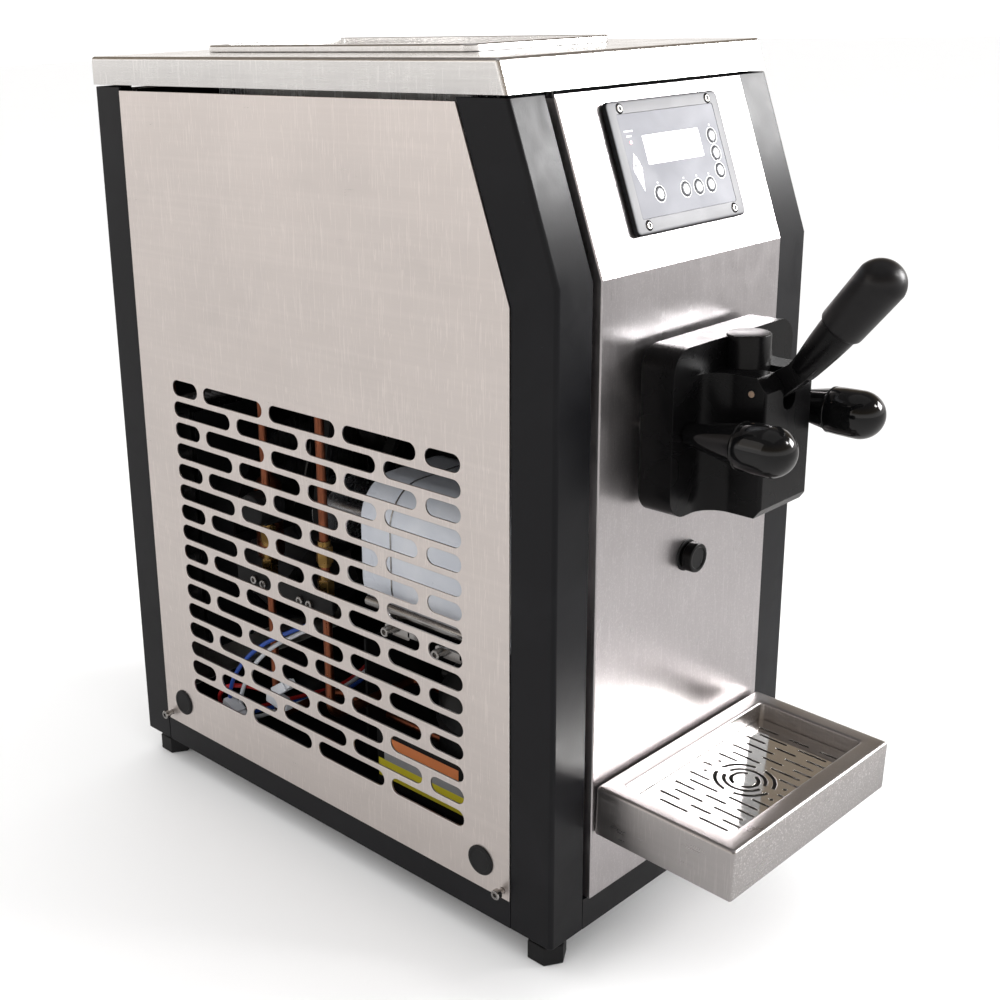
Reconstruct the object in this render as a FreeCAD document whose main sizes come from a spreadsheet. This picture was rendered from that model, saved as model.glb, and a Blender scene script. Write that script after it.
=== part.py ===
import FreeCAD, Part
import math
import os
from types import SimpleNamespace

import Sketcher

# Countertop soft-serve ice cream maker, millimetres.
# Most pieces are drawn in the chassis frame: X = 0 on the centre plane, Y = 0 on the front of the
# chassis with +Y to the rear, Z = 0 under the base pan.  Pieces on the sloping upper front are drawn
# in the slope frame, whose X axis is the bend line and whose Z axis runs up the slope.

DIMENSIONS = [
    # chassis
    ("chassis_width", 260.0), ("chassis_depth", 441.6), ("chassis_height", 531.4),
    ("front_y", -154.3), ("foot_height", 20.0), ("foot_radius", 13.6), ("foot_inset", 17.0),
    ("bend_height", 428.7), ("slope_setback", 36.5), ("slope_angle", 19.57),
    ("frame_sheet", 2.0), ("panel_sheet", 1.2), ("post_width", 32.0), ("post_depth", 34.0),
    ("side_bend", 415.0), ("edge_radius", 3.0), ("side_rail", 20.5), ("front_rail", 22.5),
    # side panels and their slots
    ("side_panel_sheet", 1.5), ("side_panel_proud", 1.0), ("side_panel_top", 529.0),
    ("panel_gap", 0.3), ("slot_top", 312.5), ("slot_pitch", 16.53), ("slot_radius", 6.0),
    ("plug_radius", 10.5), ("plug_hole", 9.0), ("screw_radius", 3.5), ("shank_radius", 2.0),
    # front panel, back panel and top cover
    ("front_half", 94.0), ("front_proud", 3.0), ("front_flange", 8.0),
    ("door_hole", 45.7), ("back_sheet", 1.5),
    ("cover_half", 131.0), ("cover_bottom", 532.9), ("cover_top", 552.9), ("cover_front", 36.4),
    ("cover_lean", 6.6), ("mouth_half", 66.0), ("mouth_front", 122.0), ("mouth_back", 377.0),
    # hopper
    ("tank_floor", 424.0), ("tank_sheet", 1.2), ("neck_y", 140.0),
    ("lid_half", 71.0), ("lid_front", 117.0), ("lid_back", 382.0), ("lid_height", 4.8),
    # control unit, in the slope frame
    ("control_half", 57.0), ("control_low", 19.0), ("control_high", 99.3), ("control_proud", 4.0),
    ("membrane_half", 48.6), ("membrane_low", 28.4), ("membrane_high", 91.0),
    ("membrane_sheet", 0.8), ("key_radius", 4.5), ("key_length", 3.2),
    ("window_left", 29.6), ("window_right", 27.3), ("window_low", 59.5), ("window_high", 77.1),
    # freezing cylinder and door
    ("axis_height", 335.2), ("barrel_inner", 40.0), ("barrel_outer", 42.0), ("barrel_back", 196.0),
    ("collar_radius", 45.2), ("collar_front", 8.2), ("coil_radius", 46.2), ("coil_tube", 3.8),
    ("jacket_inner", 51.0), ("jacket_outer", 66.0), ("shaft_radius", 8.0), ("running_fit", 0.05),
    ("door_half", 64.0), ("door_low", 283.0), ("door_high", 387.0), ("door_back", 10.0),
    ("door_front", 33.0), ("door_corner", 15.0), ("block_half", 26.0), ("block_front", 70.0),
    ("block_top", 368.8), ("lever_slot", 14.0), ("slot_floor", 345.6),
    ("piston_y", 41.0), ("piston_radius", 13.25), ("piston_low", 297.3), ("piston_top", 388.5),
    ("pivot_y", 60.5), ("pivot_z", 358.8), ("pin_radius", 2.0), ("finger_reach", 19.5),
    ("finger_angle", 20.0), ("handle_angle", 52.3), ("stud_radius", 3.0), ("stud_x", 50.0),
    ("nut_length", 71.0), ("nut_radius", 15.0), ("grip_length", 50.0), ("grip_radius", 14.3),
    ("cap_z", 236.0), ("cap_radius", 9.8),
    # drip tray
    ("tray_half", 92.0), ("tray_depth", 101.0), ("tray_height", 35.0), ("tray_top", 106.0),
    ("tray_gap", 4.6), ("tray_rim", 13.0), ("tray_sag", 2.0), ("grid_drop", 12.5),
    ("grid_sheet", 1.2), ("tray_ledge", 4.0),
    # drive
    ("motor_x", -45.0), ("motor_z", 215.0), ("motor_radius", 52.0),
    ("big_pulley", 47.0), ("small_pulley", 23.5), ("belt_front", 271.0), ("belt_width", 10.0),
    ("belt_thick", 4.0), ("pulley_shaft", 7.0), ("gearbox_half", 40.0),
    ("gearbox_front", 204.0), ("gearbox_back", 262.0),
    # refrigeration
    ("compressor_radius", 58.0), ("compressor_x", -30.0), ("compressor_y", 112.0),
    ("fan_y", 370.0), ("fan_z", 180.0), ("fan_radius", 86.0), ("pipe_radius", 4.8),
]

document = FreeCAD.newDocument("ice_cream_maker")
sheet = document.addObject("Spreadsheet::Sheet", "dims")
for row, (alias, number) in enumerate(DIMENSIONS, start=1):
    sheet.set("A%d" % row, alias)
    sheet.set("B%d" % row, str(number))
    sheet.setAlias("B%d" % row, alias)
document.recompute()


class Size:
    """A length that knows both its number and the sheet formula it comes from."""

    def __init__(self, number, formula):
        self.number = number
        self.formula = formula

    def __add__(self, other):
        other = as_size(other)
        return Size(self.number + other.number, "(%s + %s)" % (self.formula, other.formula))

    def __sub__(self, other):
        other = as_size(other)
        return Size(self.number - other.number, "(%s - %s)" % (self.formula, other.formula))

    def __mul__(self, other):
        other = as_size(other)
        return Size(self.number * other.number, "(%s * %s)" % (self.formula, other.formula))

    def __truediv__(self, other):
        other = as_size(other)
        return Size(self.number / other.number, "(%s / %s)" % (self.formula, other.formula))

    def __radd__(self, other):
        return as_size(other) + self

    def __rsub__(self, other):
        return as_size(other) - self

    def __rmul__(self, other):
        return as_size(other) * self

    def __neg__(self):
        return as_size(0) - self


def as_size(value):
    return value if isinstance(value, Size) else Size(float(value), "(%s)" % float(value))


def number_of(value):
    return value.number if isinstance(value, Size) else float(value)


def square_root(size):
    return Size(math.sqrt(size.number), "sqrt(%s)" % size.formula)


dim = SimpleNamespace(**{alias: Size(number, "dims." + alias) for alias, number in DIMENSIONS})
half_width = dim.chassis_width / 2
lean = dim.slope_setback / (dim.chassis_height - dim.bend_height)
lean_length = square_root(1 + lean * lean)
ORIGIN = FreeCAD.Vector(0, 0, 0)
X_AXIS = FreeCAD.Vector(1, 0, 0)
Y_AXIS = FreeCAD.Vector(0, 1, 0)
Z_AXIS = FreeCAD.Vector(0, 0, 1)
TOWARDS = {
    "x": FreeCAD.Rotation(Y_AXIS, 90),
    "y": FreeCAD.Rotation(X_AXIS, -90),
    "-y": FreeCAD.Rotation(X_AXIS, 90),
    "z": FreeCAD.Rotation(),
}
nodes = {}


def slope_y(height, proud=0.0):
    """Y of the sloping front at a height, for a face that stands proud of it."""
    return (height - dim.bend_height) * lean - as_size(proud) * lean_length


def bend_z(proud):
    """Height of the bend line of a face that stands proud of the chassis front."""
    return dim.bend_height + as_size(proud) * (lean_length - 1) / lean


def bind(thing, prop, value):
    if isinstance(value, Size):
        thing.setExpression(prop, value.formula)
    else:
        setattr(thing, prop, value)


def place(thing, x=0.0, y=0.0, z=0.0, rotation=None):
    base = FreeCAD.Vector(number_of(x), number_of(y), number_of(z))
    thing.Placement = FreeCAD.Placement(base, rotation or FreeCAD.Rotation())
    for axis, value in zip("xyz", (x, y, z)):
        if isinstance(value, Size):
            thing.setExpression(".Placement.Base." + axis, value.formula)
    return thing


# ---------------------------------------------------------------- Part helpers

def box(name, x_range, y_range, z_range):
    thing = document.addObject("Part::Box", name)
    spans = (x_range, y_range, z_range)
    for prop, (low, high) in zip(("Length", "Width", "Height"), spans):
        bind(thing, prop, as_size(high) - low)
    return place(thing, *(span[0] for span in spans))


def rod(name, radius, length, x, y, z, towards="z"):
    thing = document.addObject("Part::Cylinder", name)
    bind(thing, "Radius", radius)
    bind(thing, "Height", length)
    return place(thing, x, y, z, TOWARDS[towards])


def ring(name, radius, tube, x, y, z, towards="y"):
    thing = document.addObject("Part::Torus", name)
    bind(thing, "Radius1", radius)
    bind(thing, "Radius2", tube)
    return place(thing, x, y, z, TOWARDS[towards])


def compound(name, things):
    thing = document.addObject("Part::Compound", name)
    thing.Links = things
    return thing


def fuse(name, things):
    thing = document.addObject("Part::MultiFuse", name)
    thing.Shapes = things
    thing.Refine = True
    return thing


def cut(name, base, tools):
    thing = document.addObject("Part::Cut", name)
    thing.Base = base
    thing.Tool = tools[0] if len(tools) == 1 else compound(name + "_tools", tools)
    thing.Refine = True
    return thing


def round_edges(name, base, radius, wanted):
    """Fillet the edges for which wanted(edge) holds."""
    document.recompute()
    thing = document.addObject("Part::Fillet", name)
    thing.Base = base
    size = number_of(radius)
    edges = enumerate(base.Shape.Edges, start=1)
    thing.Edges = [(index, size, size) for index, edge in edges if wanted(edge)]
    return thing


def runs_along(edge, axis):
    """True for a straight edge parallel to an axis."""
    if not isinstance(edge.Curve, (Part.Line, Part.LineSegment)):
        return False
    step = edge.Vertexes[-1].Point - edge.Vertexes[0].Point
    return step.Length > 1e-6 and abs(abs(step.normalize() * axis) - 1) < 1e-6


def lies_at(edge, axis, value, tolerance=1e-4):
    """True for an edge all of whose ends have one coordinate."""
    return all(abs(vertex.Point * axis - number_of(value)) < tolerance for vertex in edge.Vertexes)


def mirrored(name, source):
    thing = document.addObject("Part::Mirroring", name)
    thing.Source = source
    thing.Normal = (1, 0, 0)
    return thing


def shape_feature(name, shape):
    thing = document.addObject("Part::Feature", name)
    thing.Shape = shape
    return thing


# ------------------------------------------------------------ PartDesign helpers

def new_body(name):
    return document.addObject("PartDesign::Body", name)


def sketch_on(body, role, offset=0.0):
    origin_plane = next(f for f in body.Origin.OriginFeatures if f.Role == role)
    sketch = body.newObject("Sketcher::SketchObject", body.Name + "_sketch")
    sketch.AttachmentSupport = (origin_plane, [""])
    sketch.MapMode = "FlatFace"
    shift = FreeCAD.Vector(0, 0, number_of(offset))
    sketch.AttachmentOffset = FreeCAD.Placement(shift, FreeCAD.Rotation())
    if isinstance(offset, Size):
        sketch.setExpression(".AttachmentOffset.Base.z", offset.formula)
    return sketch


def fix(sketch, kind, *arguments):
    """Add a dimension whose last argument is a Size or a number."""
    value = arguments[-1]
    index = sketch.addConstraint(Sketcher.Constraint(kind, *arguments[:-1], number_of(value)))
    if isinstance(value, Size):
        sketch.setExpression("Constraints[%d]" % index, value.formula)


def arc_between(start, end, radius):
    """Arc from start to end, anticlockwise for a positive radius."""
    chord = end - start
    middle = (start + end) / 2
    height = math.sqrt(max(radius * radius - chord.Length ** 2 / 4, 0.0))
    across = FreeCAD.Vector(-chord.y, chord.x, 0).normalize()
    centre = middle + across * height * (1 if radius > 0 else -1)
    first, last = (start, end) if radius > 0 else (end, start)
    angles = [math.atan2(point.y - centre.y, point.x - centre.x) for point in (first, last)]
    circle = Part.Circle(centre, Z_AXIS, abs(radius))
    return Part.ArcOfCircle(circle, angles[0], angles[1])


def outline(sketch, corners):
    """Closed outline of (x, y) or (x, y, radius) corners; a radius bends the side that follows."""
    points = [FreeCAD.Vector(number_of(c[0]), number_of(c[1]), 0) for c in corners]
    first = sketch.GeometryCount
    ends = []
    for index, corner in enumerate(corners):
        start, end = points[index], points[(index + 1) % len(points)]
        bent = len(corner) > 2
        side = arc_between(start, end, number_of(corner[2])) if bent else Part.LineSegment(start, end)
        sketch.addGeometry(side, False)
        ends.append((2, 1) if bent and number_of(corner[2]) < 0 else (1, 2))
    for index, corner in enumerate(corners):
        after = (index + 1) % len(corners)
        joint = Sketcher.Constraint(
            "Coincident", first + index, ends[index][1], first + after, ends[after][0])
        sketch.addConstraint(joint)
        fix(sketch, "DistanceX", -1, 1, first + index, ends[index][0], corner[0])
        fix(sketch, "DistanceY", -1, 1, first + index, ends[index][0], corner[1])
        if len(corner) > 2:
            bend = corner[2] if number_of(corner[2]) > 0 else -corner[2]
            fix(sketch, "Radius", first + index, bend)


def round_slot(sketch, low, high, height, radius):
    """Slot with full-round ends, its long axis level in the sketch."""
    x_low, x_high, y = number_of(low), number_of(high), number_of(height)
    r = number_of(radius)
    first = sketch.GeometryCount
    corner = FreeCAD.Vector
    sketch.addGeometry(Part.LineSegment(corner(x_low, y - r, 0), corner(x_high, y - r, 0)), False)
    right = Part.Circle(corner(x_high, y, 0), Z_AXIS, r)
    sketch.addGeometry(Part.ArcOfCircle(right, -math.pi / 2, math.pi / 2), False)
    sketch.addGeometry(Part.LineSegment(corner(x_high, y + r, 0), corner(x_low, y + r, 0)), False)
    left = Part.Circle(corner(x_low, y, 0), Z_AXIS, r)
    sketch.addGeometry(Part.ArcOfCircle(left, math.pi / 2, 3 * math.pi / 2), False)
    for one, other in ((0, 1), (1, 2), (2, 3), (3, 0)):
        sketch.addConstraint(Sketcher.Constraint("Tangent", first + one, 2, first + other, 1))
    for arc, x in ((first + 1, high), (first + 3, low)):
        fix(sketch, "DistanceX", -1, 1, arc, 3, x)
        fix(sketch, "DistanceY", -1, 1, arc, 3, height)
        fix(sketch, "Radius", arc, radius)


def circle(sketch, x, y, radius):
    centre = FreeCAD.Vector(number_of(x), number_of(y), 0)
    index = sketch.addGeometry(Part.Circle(centre, Z_AXIS, number_of(radius)), False)
    fix(sketch, "DistanceX", -1, 1, index, 3, x)
    fix(sketch, "DistanceY", -1, 1, index, 3, y)
    fix(sketch, "Radius", index, radius)


def rectangle(sketch, x_low, x_high, y_low, y_high):
    outline(sketch, [(x_low, y_low), (x_high, y_low), (x_high, y_high), (x_low, y_high)])


def pad(body, sketch, length, both_ways=False):
    feature = body.newObject("PartDesign::Pad", body.Name + "_pad")
    feature.Profile = sketch
    if both_ways:
        feature.SideType = "Symmetric"
    bind(feature, "Length", length)
    return feature


def pocket(body, sketch, length=None, both_ways=False, backwards=False):
    feature = body.newObject("PartDesign::Pocket", body.Name + "_pocket")
    feature.Profile = sketch
    feature.Reversed = backwards
    if both_ways:
        feature.SideType = "Symmetric"
    if length is None:
        feature.Type = "ThroughAll"
    else:
        bind(feature, "Length", length)
    return feature


def revolve(body, sketch):
    feature = body.newObject("PartDesign::Revolution", body.Name + "_turned")
    feature.Profile = sketch
    feature.ReferenceAxis = (sketch, ["V_Axis"])
    feature.Angle = 360
    return feature


def soften(body, radius, wanted):
    document.recompute()
    last = body.Tip
    names = ["Edge%d" % i for i, edge in enumerate(last.Shape.Edges, start=1) if wanted(edge)]
    feature = body.newObject("PartDesign::Fillet", body.Name + "_soft")
    feature.Base = (last, names)
    bind(feature, "Radius", radius)
    return feature


def dome_radius(radius, height):
    """Radius of the sphere, centred on the axis, whose cap has this rim radius and height."""
    return (radius * radius + height * height) / (2 * height)


def turned(name, corners):
    """Body of revolution about its own Z axis from (radius, height) corners."""
    body = new_body(name)
    sketch = sketch_on(body, "XZ_Plane")
    outline(sketch, corners)
    revolve(body, sketch)
    return body


# -------------------------------------------------------------------- node book

def keep(label, thing, x=0.0, y=0.0, z=0.0, rotation=None):
    """Register a finished sub-part and seat it in the model frame."""
    if thing.TypeId in ("Part::Box", "Part::Cylinder", "Part::Torus"):
        thing = compound(label + "_piece", [thing])
    place(thing, x, dim.front_y + y, dim.foot_height + z, rotation)
    thing.Label = label
    nodes[label] = thing


def keep_on_slope(label, thing):
    if thing.TypeId in ("Part::Box", "Part::Cylinder", "Part::Torus"):
        thing = compound(label + "_piece", [thing])
    turn = FreeCAD.Rotation(X_AXIS, -dim.slope_angle.number)
    place(thing, 0.0, dim.front_y, dim.foot_height + dim.bend_height, turn)
    thing.setExpression(".Placement.Rotation.Angle", "-dims.slope_angle")
    thing.Label = label
    nodes[label] = thing


# ======================================================================= chassis

def make_front_posts():
    """Bent angle posts: a side flange and a front flange that follow the sloping front."""
    top = dim.chassis_height
    sheet_t = dim.frame_sheet
    body = new_body("front_left_post")
    side = sketch_on(body, "YZ_Plane")
    outline(side, [
        (0, 0), (dim.post_depth, 0), (dim.post_depth, dim.side_bend),
        (dim.post_depth + (top - dim.side_bend) * lean, top),
        (dim.slope_setback, top), (0, dim.bend_height)])
    pad(body, side, sheet_t)
    front = sketch_on(body, "YZ_Plane")
    outline(front, [
        (0, 0), (sheet_t, 0), (sheet_t, bend_z(-sheet_t)),
        (slope_y(top, -sheet_t), top), (dim.slope_setback, top), (0, dim.bend_height)])
    pad(body, front, dim.post_width)

    def outer_corner(edge):
        on_side = lies_at(edge, X_AXIS, 0)
        return on_side and all(
            abs(v.Point.y - max(0.0, number_of(slope_y(as_size(v.Point.z))))) < 0.01
            for v in edge.Vertexes) and edge.Length > 50

    soften(body, dim.edge_radius, outer_corner)
    keep("front_left_post", body, x=-half_width)
    keep_mirror("front_right_post", body)


def keep_mirror(label, source):
    thing = mirrored(label, source)
    thing.Label = label
    nodes[label] = thing


def make_rear_posts():
    sheet_t = dim.frame_sheet
    body = new_body("rear_left_post")
    plan = sketch_on(body, "XY_Plane")
    reach = dim.post_width - dim.panel_gap
    outline(plan, [(0, 0), (0, -reach), (sheet_t, -reach), (sheet_t, -sheet_t),
                   (dim.post_width, -sheet_t), (dim.post_width, 0)])
    pad(body, plan, dim.chassis_height)
    soften(body, dim.edge_radius,
           lambda edge: runs_along(edge, Z_AXIS) and lies_at(edge, X_AXIS, 0)
           and lies_at(edge, Y_AXIS, 0))
    keep("rear_left_post", body, x=-half_width, y=dim.chassis_depth)
    keep_mirror("rear_right_post", body)


def make_base_pan():
    gap = dim.frame_sheet + dim.panel_gap
    inner = half_width - gap
    side_low = dim.post_depth + dim.panel_gap
    side_high = dim.chassis_depth - dim.post_width - dim.panel_gap * 2
    rail_in = half_width - dim.frame_sheet
    half_front = half_width - dim.post_width - dim.panel_gap
    flange = dim.frame_sheet
    pieces = [
        box("pan_floor", (-inner, inner), (gap, dim.chassis_depth - gap), (0, flange)),
        box("pan_wings", (-half_width, half_width), (side_low, side_high), (0, flange)),
        box("pan_left_rail", (-half_width, -rail_in), (side_low, side_high), (0, dim.side_rail)),
        box("pan_right_rail", (rail_in, half_width), (side_low, side_high), (0, dim.side_rail)),
        box("pan_front_rail", (-half_front, half_front), (0, flange), (0, dim.front_rail)),
        box("pan_front_foot", (-half_front, half_front), (0, gap * 2), (0, flange)),
        box("pan_back_rail", (-half_front, half_front),
            (dim.chassis_depth - flange, dim.chassis_depth), (0, dim.side_rail)),
        box("pan_back_foot", (-half_front, half_front),
            (dim.chassis_depth - gap * 2, dim.chassis_depth), (0, flange)),
    ]
    keep("base_pan", fuse("pan", pieces))


def make_feet():
    """Hexagonal screw-in levelling feet with a short round neck."""
    neck = 8.0
    neck_height = 6.0
    inset = dim.foot_inset
    feet = []
    for x in (inset - half_width, half_width - inset):
        for y in (inset, dim.chassis_depth - inset):
            hexagon = document.addObject("Part::Prism", "foot_hexagon")
            hexagon.Polygon = 6
            bind(hexagon, "Circumradius", dim.foot_radius)
            bind(hexagon, "Height", dim.foot_height - neck_height)
            place(hexagon, x, y, -dim.foot_height, FreeCAD.Rotation(Z_AXIS, 30))
            soft = round_edges("foot_pad", hexagon, 1.2, lambda edge: not runs_along(edge, Z_AXIS))
            stem = rod("foot_neck", neck, neck_height, x, y, -neck_height)
            feet.append(fuse("foot", [soft, stem]))
    keep("feet", compound("feet_group", feet))


SLOT_ROWS = {
    "long": [(73.8, 104.2), (112.1, 180.4), (187.6, 256.3), (263.8, 331.3), (338.7, 368.8)],
    "short": [(73.7, 142.1), (149.4, 218.2), (225.9, 293.7), (301.4, 368.8)],
}
SLOT_REPEATS = 8


def make_side_panels():
    """Thin stainless side sheet with sixteen staggered rows of round-ended slots."""
    gap = dim.panel_gap
    front = dim.post_depth + gap
    back = dim.chassis_depth - dim.post_width - gap * 2
    body = new_body("left_side_panel")
    side = sketch_on(body, "YZ_Plane")
    outline(side, [
        (front, dim.side_rail + gap), (back, dim.side_rail + gap), (back, dim.side_panel_top),
        (front + (dim.side_panel_top - dim.side_bend) * lean, dim.side_panel_top),
        (front, dim.side_bend)])
    pad(body, side, dim.side_panel_sheet)
    for row, spans in enumerate(SLOT_ROWS.values()):
        slots = sketch_on(body, "YZ_Plane")
        for low, high in spans:
            round_slot(slots, low + dim.slot_radius, high - dim.slot_radius,
                       dim.slot_top - row * dim.slot_pitch, dim.slot_radius)
        cutter = pocket(body, slots, both_ways=True)
        pattern = body.newObject("PartDesign::LinearPattern", "slot_rows")
        pattern.Originals = [cutter]
        pattern.Direction = (slots, ["V_Axis"])
        pattern.Reversed = True
        bind(pattern, "Length", dim.slot_pitch * 2 * (SLOT_REPEATS - 1))
        pattern.Occurrences = SLOT_REPEATS
        body.Tip = pattern
    holes = sketch_on(body, "YZ_Plane")
    for y, z in PLUG_PLACES:
        circle(holes, y, z, dim.plug_hole)
    for y, z in SCREW_PLACES:
        circle(holes, y, z, dim.shank_radius + 0.2)
    pocket(body, holes, both_ways=True)
    keep("left_side_panel", body, x=-(half_width + dim.side_panel_proud))
    keep_mirror("right_side_panel", body)


PLUG_PLACES = [(58.9, 41.5), (384.5, 42.4)]
SCREW_PLACES = [(40.0, 27.0), (403.0, 27.0)]


def make_hole_plugs():
    """Black snap-in plugs over the lower holes of both side panels."""
    outer = half_width + dim.side_panel_proud
    plugs = []
    for side, towards in ((-1, "x"), (1, "x")):
        for y, z in PLUG_PLACES:
            head_from = -(outer + 1.6) if side < 0 else outer
            head = rod("plug_head", dim.plug_radius, 1.6, head_from, y, z, towards)
            soft = round_edges("plug_cap", head, 0.7,
                               lambda edge, s=side: lies_at(edge, X_AXIS, s * (outer + 1.6).number))
            stem_from = -outer if side < 0 else outer - 5
            stem = rod("plug_stem", dim.plug_hole - 0.1, 5, stem_from, y, z, towards)
            plugs.append(fuse("plug", [soft, stem]))
    keep("hole_plugs", compound("plug_group", plugs))


def make_panel_screws():
    """Socket cap screws that stand proud of the side panels on their shanks."""
    outer = half_width + dim.side_panel_proud
    stand_off = 4.0
    head_length = 4.0
    socket = 1.7
    screws = []
    for side in (-1, 1):
        for y, z in SCREW_PLACES:
            tip = outer - 7
            head_low = outer + stand_off
            tip_x = tip if side > 0 else -head_low
            shank = rod("screw_shank", dim.shank_radius, head_low - tip, tip_x, y, z, "x")
            head_x = head_low if side > 0 else -(head_low + head_length)
            head = rod("screw_head", dim.screw_radius, head_length, head_x, y, z, "x")
            hex_hole = document.addObject("Part::Prism", "screw_socket")
            hex_hole.Polygon = 6
            hex_hole.Circumradius = socket
            hex_hole.Height = 2.4
            hole_x = head_low + head_length - 2.4 if side > 0 else -(head_low + head_length)
            place(hex_hole, hole_x, y, z, TOWARDS["x"])
            screws.append(cut("cap_screw", fuse("screw", [shank, head]), [hex_hole]))
    keep("panel_screws", compound("screw_group", screws))


def make_front_panel():
    """Bent stainless front with side returns, a hole for the freezing cylinder and small cut-outs."""
    proud = dim.front_proud
    inner = proud - dim.panel_sheet
    low = dim.front_rail + 0.3
    high = dim.side_panel_top
    body = new_body("front_panel")
    face = sketch_on(body, "YZ_Plane")
    outline(face, [
        (-proud, low), (-inner, low), (-inner, bend_z(inner)), (slope_y(high, inner), high),
        (slope_y(high, proud), high), (-proud, bend_z(proud))])
    pad(body, face, dim.front_half * 2, both_ways=True)
    for side in (-1, 1):
        start = -dim.front_half if side < 0 else dim.front_half - dim.panel_sheet
        flange = sketch_on(body, "YZ_Plane", start)
        depth = dim.front_flange
        outline(flange, [
            (-proud, low), (depth, low), (depth, bend_z(-depth)), (slope_y(high, -depth), high),
            (slope_y(high, proud), high), (-proud, bend_z(proud))])
        pad(body, flange, dim.panel_sheet)
    soften(body, 1.1, lambda edge: edge.Length > 90 and all(
        abs(abs(v.Point.x) - dim.front_half.number) < 0.01
        and abs(v.Point.y - max(-proud.number, number_of(slope_y(as_size(v.Point.z), proud)))) < 0.02
        for v in edge.Vertexes))
    holes = sketch_on(body, "XZ_Plane")
    circle(holes, 0, dim.axis_height, dim.door_hole)
    circle(holes, 0, dim.cap_z, dim.cap_radius - 1.3)
    for x in (-dim.stud_x, dim.stud_x):
        circle(holes, x, dim.axis_height, dim.stud_radius + 0.4)
    pocket(body, holes, both_ways=True)
    keep("front_panel", body)


def make_back_panel():
    """Rear sheet with rows of cooling slots and the cut-out for the mains inlet."""
    gap = dim.panel_gap
    half = half_width - dim.post_width - gap
    body = new_body("back_panel")
    face = sketch_on(body, "XZ_Plane", -dim.chassis_depth)
    rectangle(face, -half, half, dim.side_rail + gap, dim.side_panel_top)
    pad(body, face, dim.back_sheet)
    slots = sketch_on(body, "XZ_Plane", -dim.chassis_depth)
    for low, high in ((-80, -30), (-20, 30), (40, 80)):
        round_slot(slots, low, high, 480, 4.0)
    cutter = pocket(body, slots, both_ways=True)
    pattern = body.newObject("PartDesign::LinearPattern", "vent_rows")
    pattern.Originals = [cutter]
    pattern.Direction = (slots, ["V_Axis"])
    pattern.Reversed = True
    pattern.Length = 384
    pattern.Occurrences = 25
    body.Tip = pattern
    inlet = sketch_on(body, "XZ_Plane", -dim.chassis_depth)
    rectangle(inlet, INLET_X - 14.3, INLET_X + 14.3, INLET_Z - 10.8, INLET_Z + 10.8)
    pocket(body, inlet, both_ways=True)
    keep("back_panel", body)


INLET_X = 62.0
INLET_Z = 56.0


def make_power_inlet():
    """Three-pin mains inlet with a recessed socket."""
    back = dim.chassis_depth
    flange = box("inlet_flange", (INLET_X - 17, INLET_X + 17), (back + 0.2, back + 2.2),
                 (INLET_Z - 13, INLET_Z + 13))
    soft = round_edges("inlet_rim", flange, 2.5, lambda edge: runs_along(edge, Y_AXIS))
    shell = box("inlet_shell", (INLET_X - 14, INLET_X + 14), (back - 18, back + 0.2),
                (INLET_Z - 10.5, INLET_Z + 10.5))
    recess = box("inlet_recess", (INLET_X - 12, INLET_X + 12), (back - 14, back + 3),
                 (INLET_Z - 8.5, INLET_Z + 8.5))
    shaped = round_edges("inlet_hole", recess, 3.0, lambda edge: runs_along(edge, Y_AXIS)
                         and edge.Vertexes[0].Point.z < INLET_Z)
    housing = cut("inlet_housing", fuse("inlet_body", [soft, shell]), [shaped])
    pins = [box("inlet_pin", (INLET_X + x - 1, INLET_X + x + 1), (back - 15, back - 5),
                (INLET_Z + z - 2, INLET_Z + z + 2)) for x, z in ((-7, -1), (0, 3), (7, -1))]
    keep("power_inlet", fuse("inlet", [housing] + pins))


def make_top_cover():
    """Folded stainless top with a deep skirt and the hopper mouth."""
    t = dim.panel_sheet
    low, top = dim.cover_bottom, dim.cover_top
    front_low, front_top = dim.cover_front, dim.cover_front + dim.cover_lean
    back = dim.chassis_depth + t
    body = new_body("top_cover")
    block = sketch_on(body, "YZ_Plane")
    outline(block, [(front_low, low), (back, low), (back, top), (front_top, top)])
    pad(body, block, dim.cover_half * 2, both_ways=True)
    soften(body, 2.6, lambda edge: lies_at(edge, Z_AXIS, top) or (
        not lies_at(edge, Z_AXIS, low) and not runs_along(edge, X_AXIS)))
    hollow = sketch_on(body, "YZ_Plane")
    outline(hollow, [(front_low + t, low - 1), (back - t, low - 1), (back - t, top - t),
                     (front_top + t, top - t)])
    pocket(body, hollow, (dim.cover_half - t) * 2, both_ways=True)
    mouth = sketch_on(body, "XY_Plane", top + 1)
    rectangle(mouth, -dim.mouth_half, dim.mouth_half, dim.mouth_front, dim.mouth_back)
    pocket(body, mouth, 10)
    keep("top_cover", body)


# ======================================================================== hopper

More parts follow.
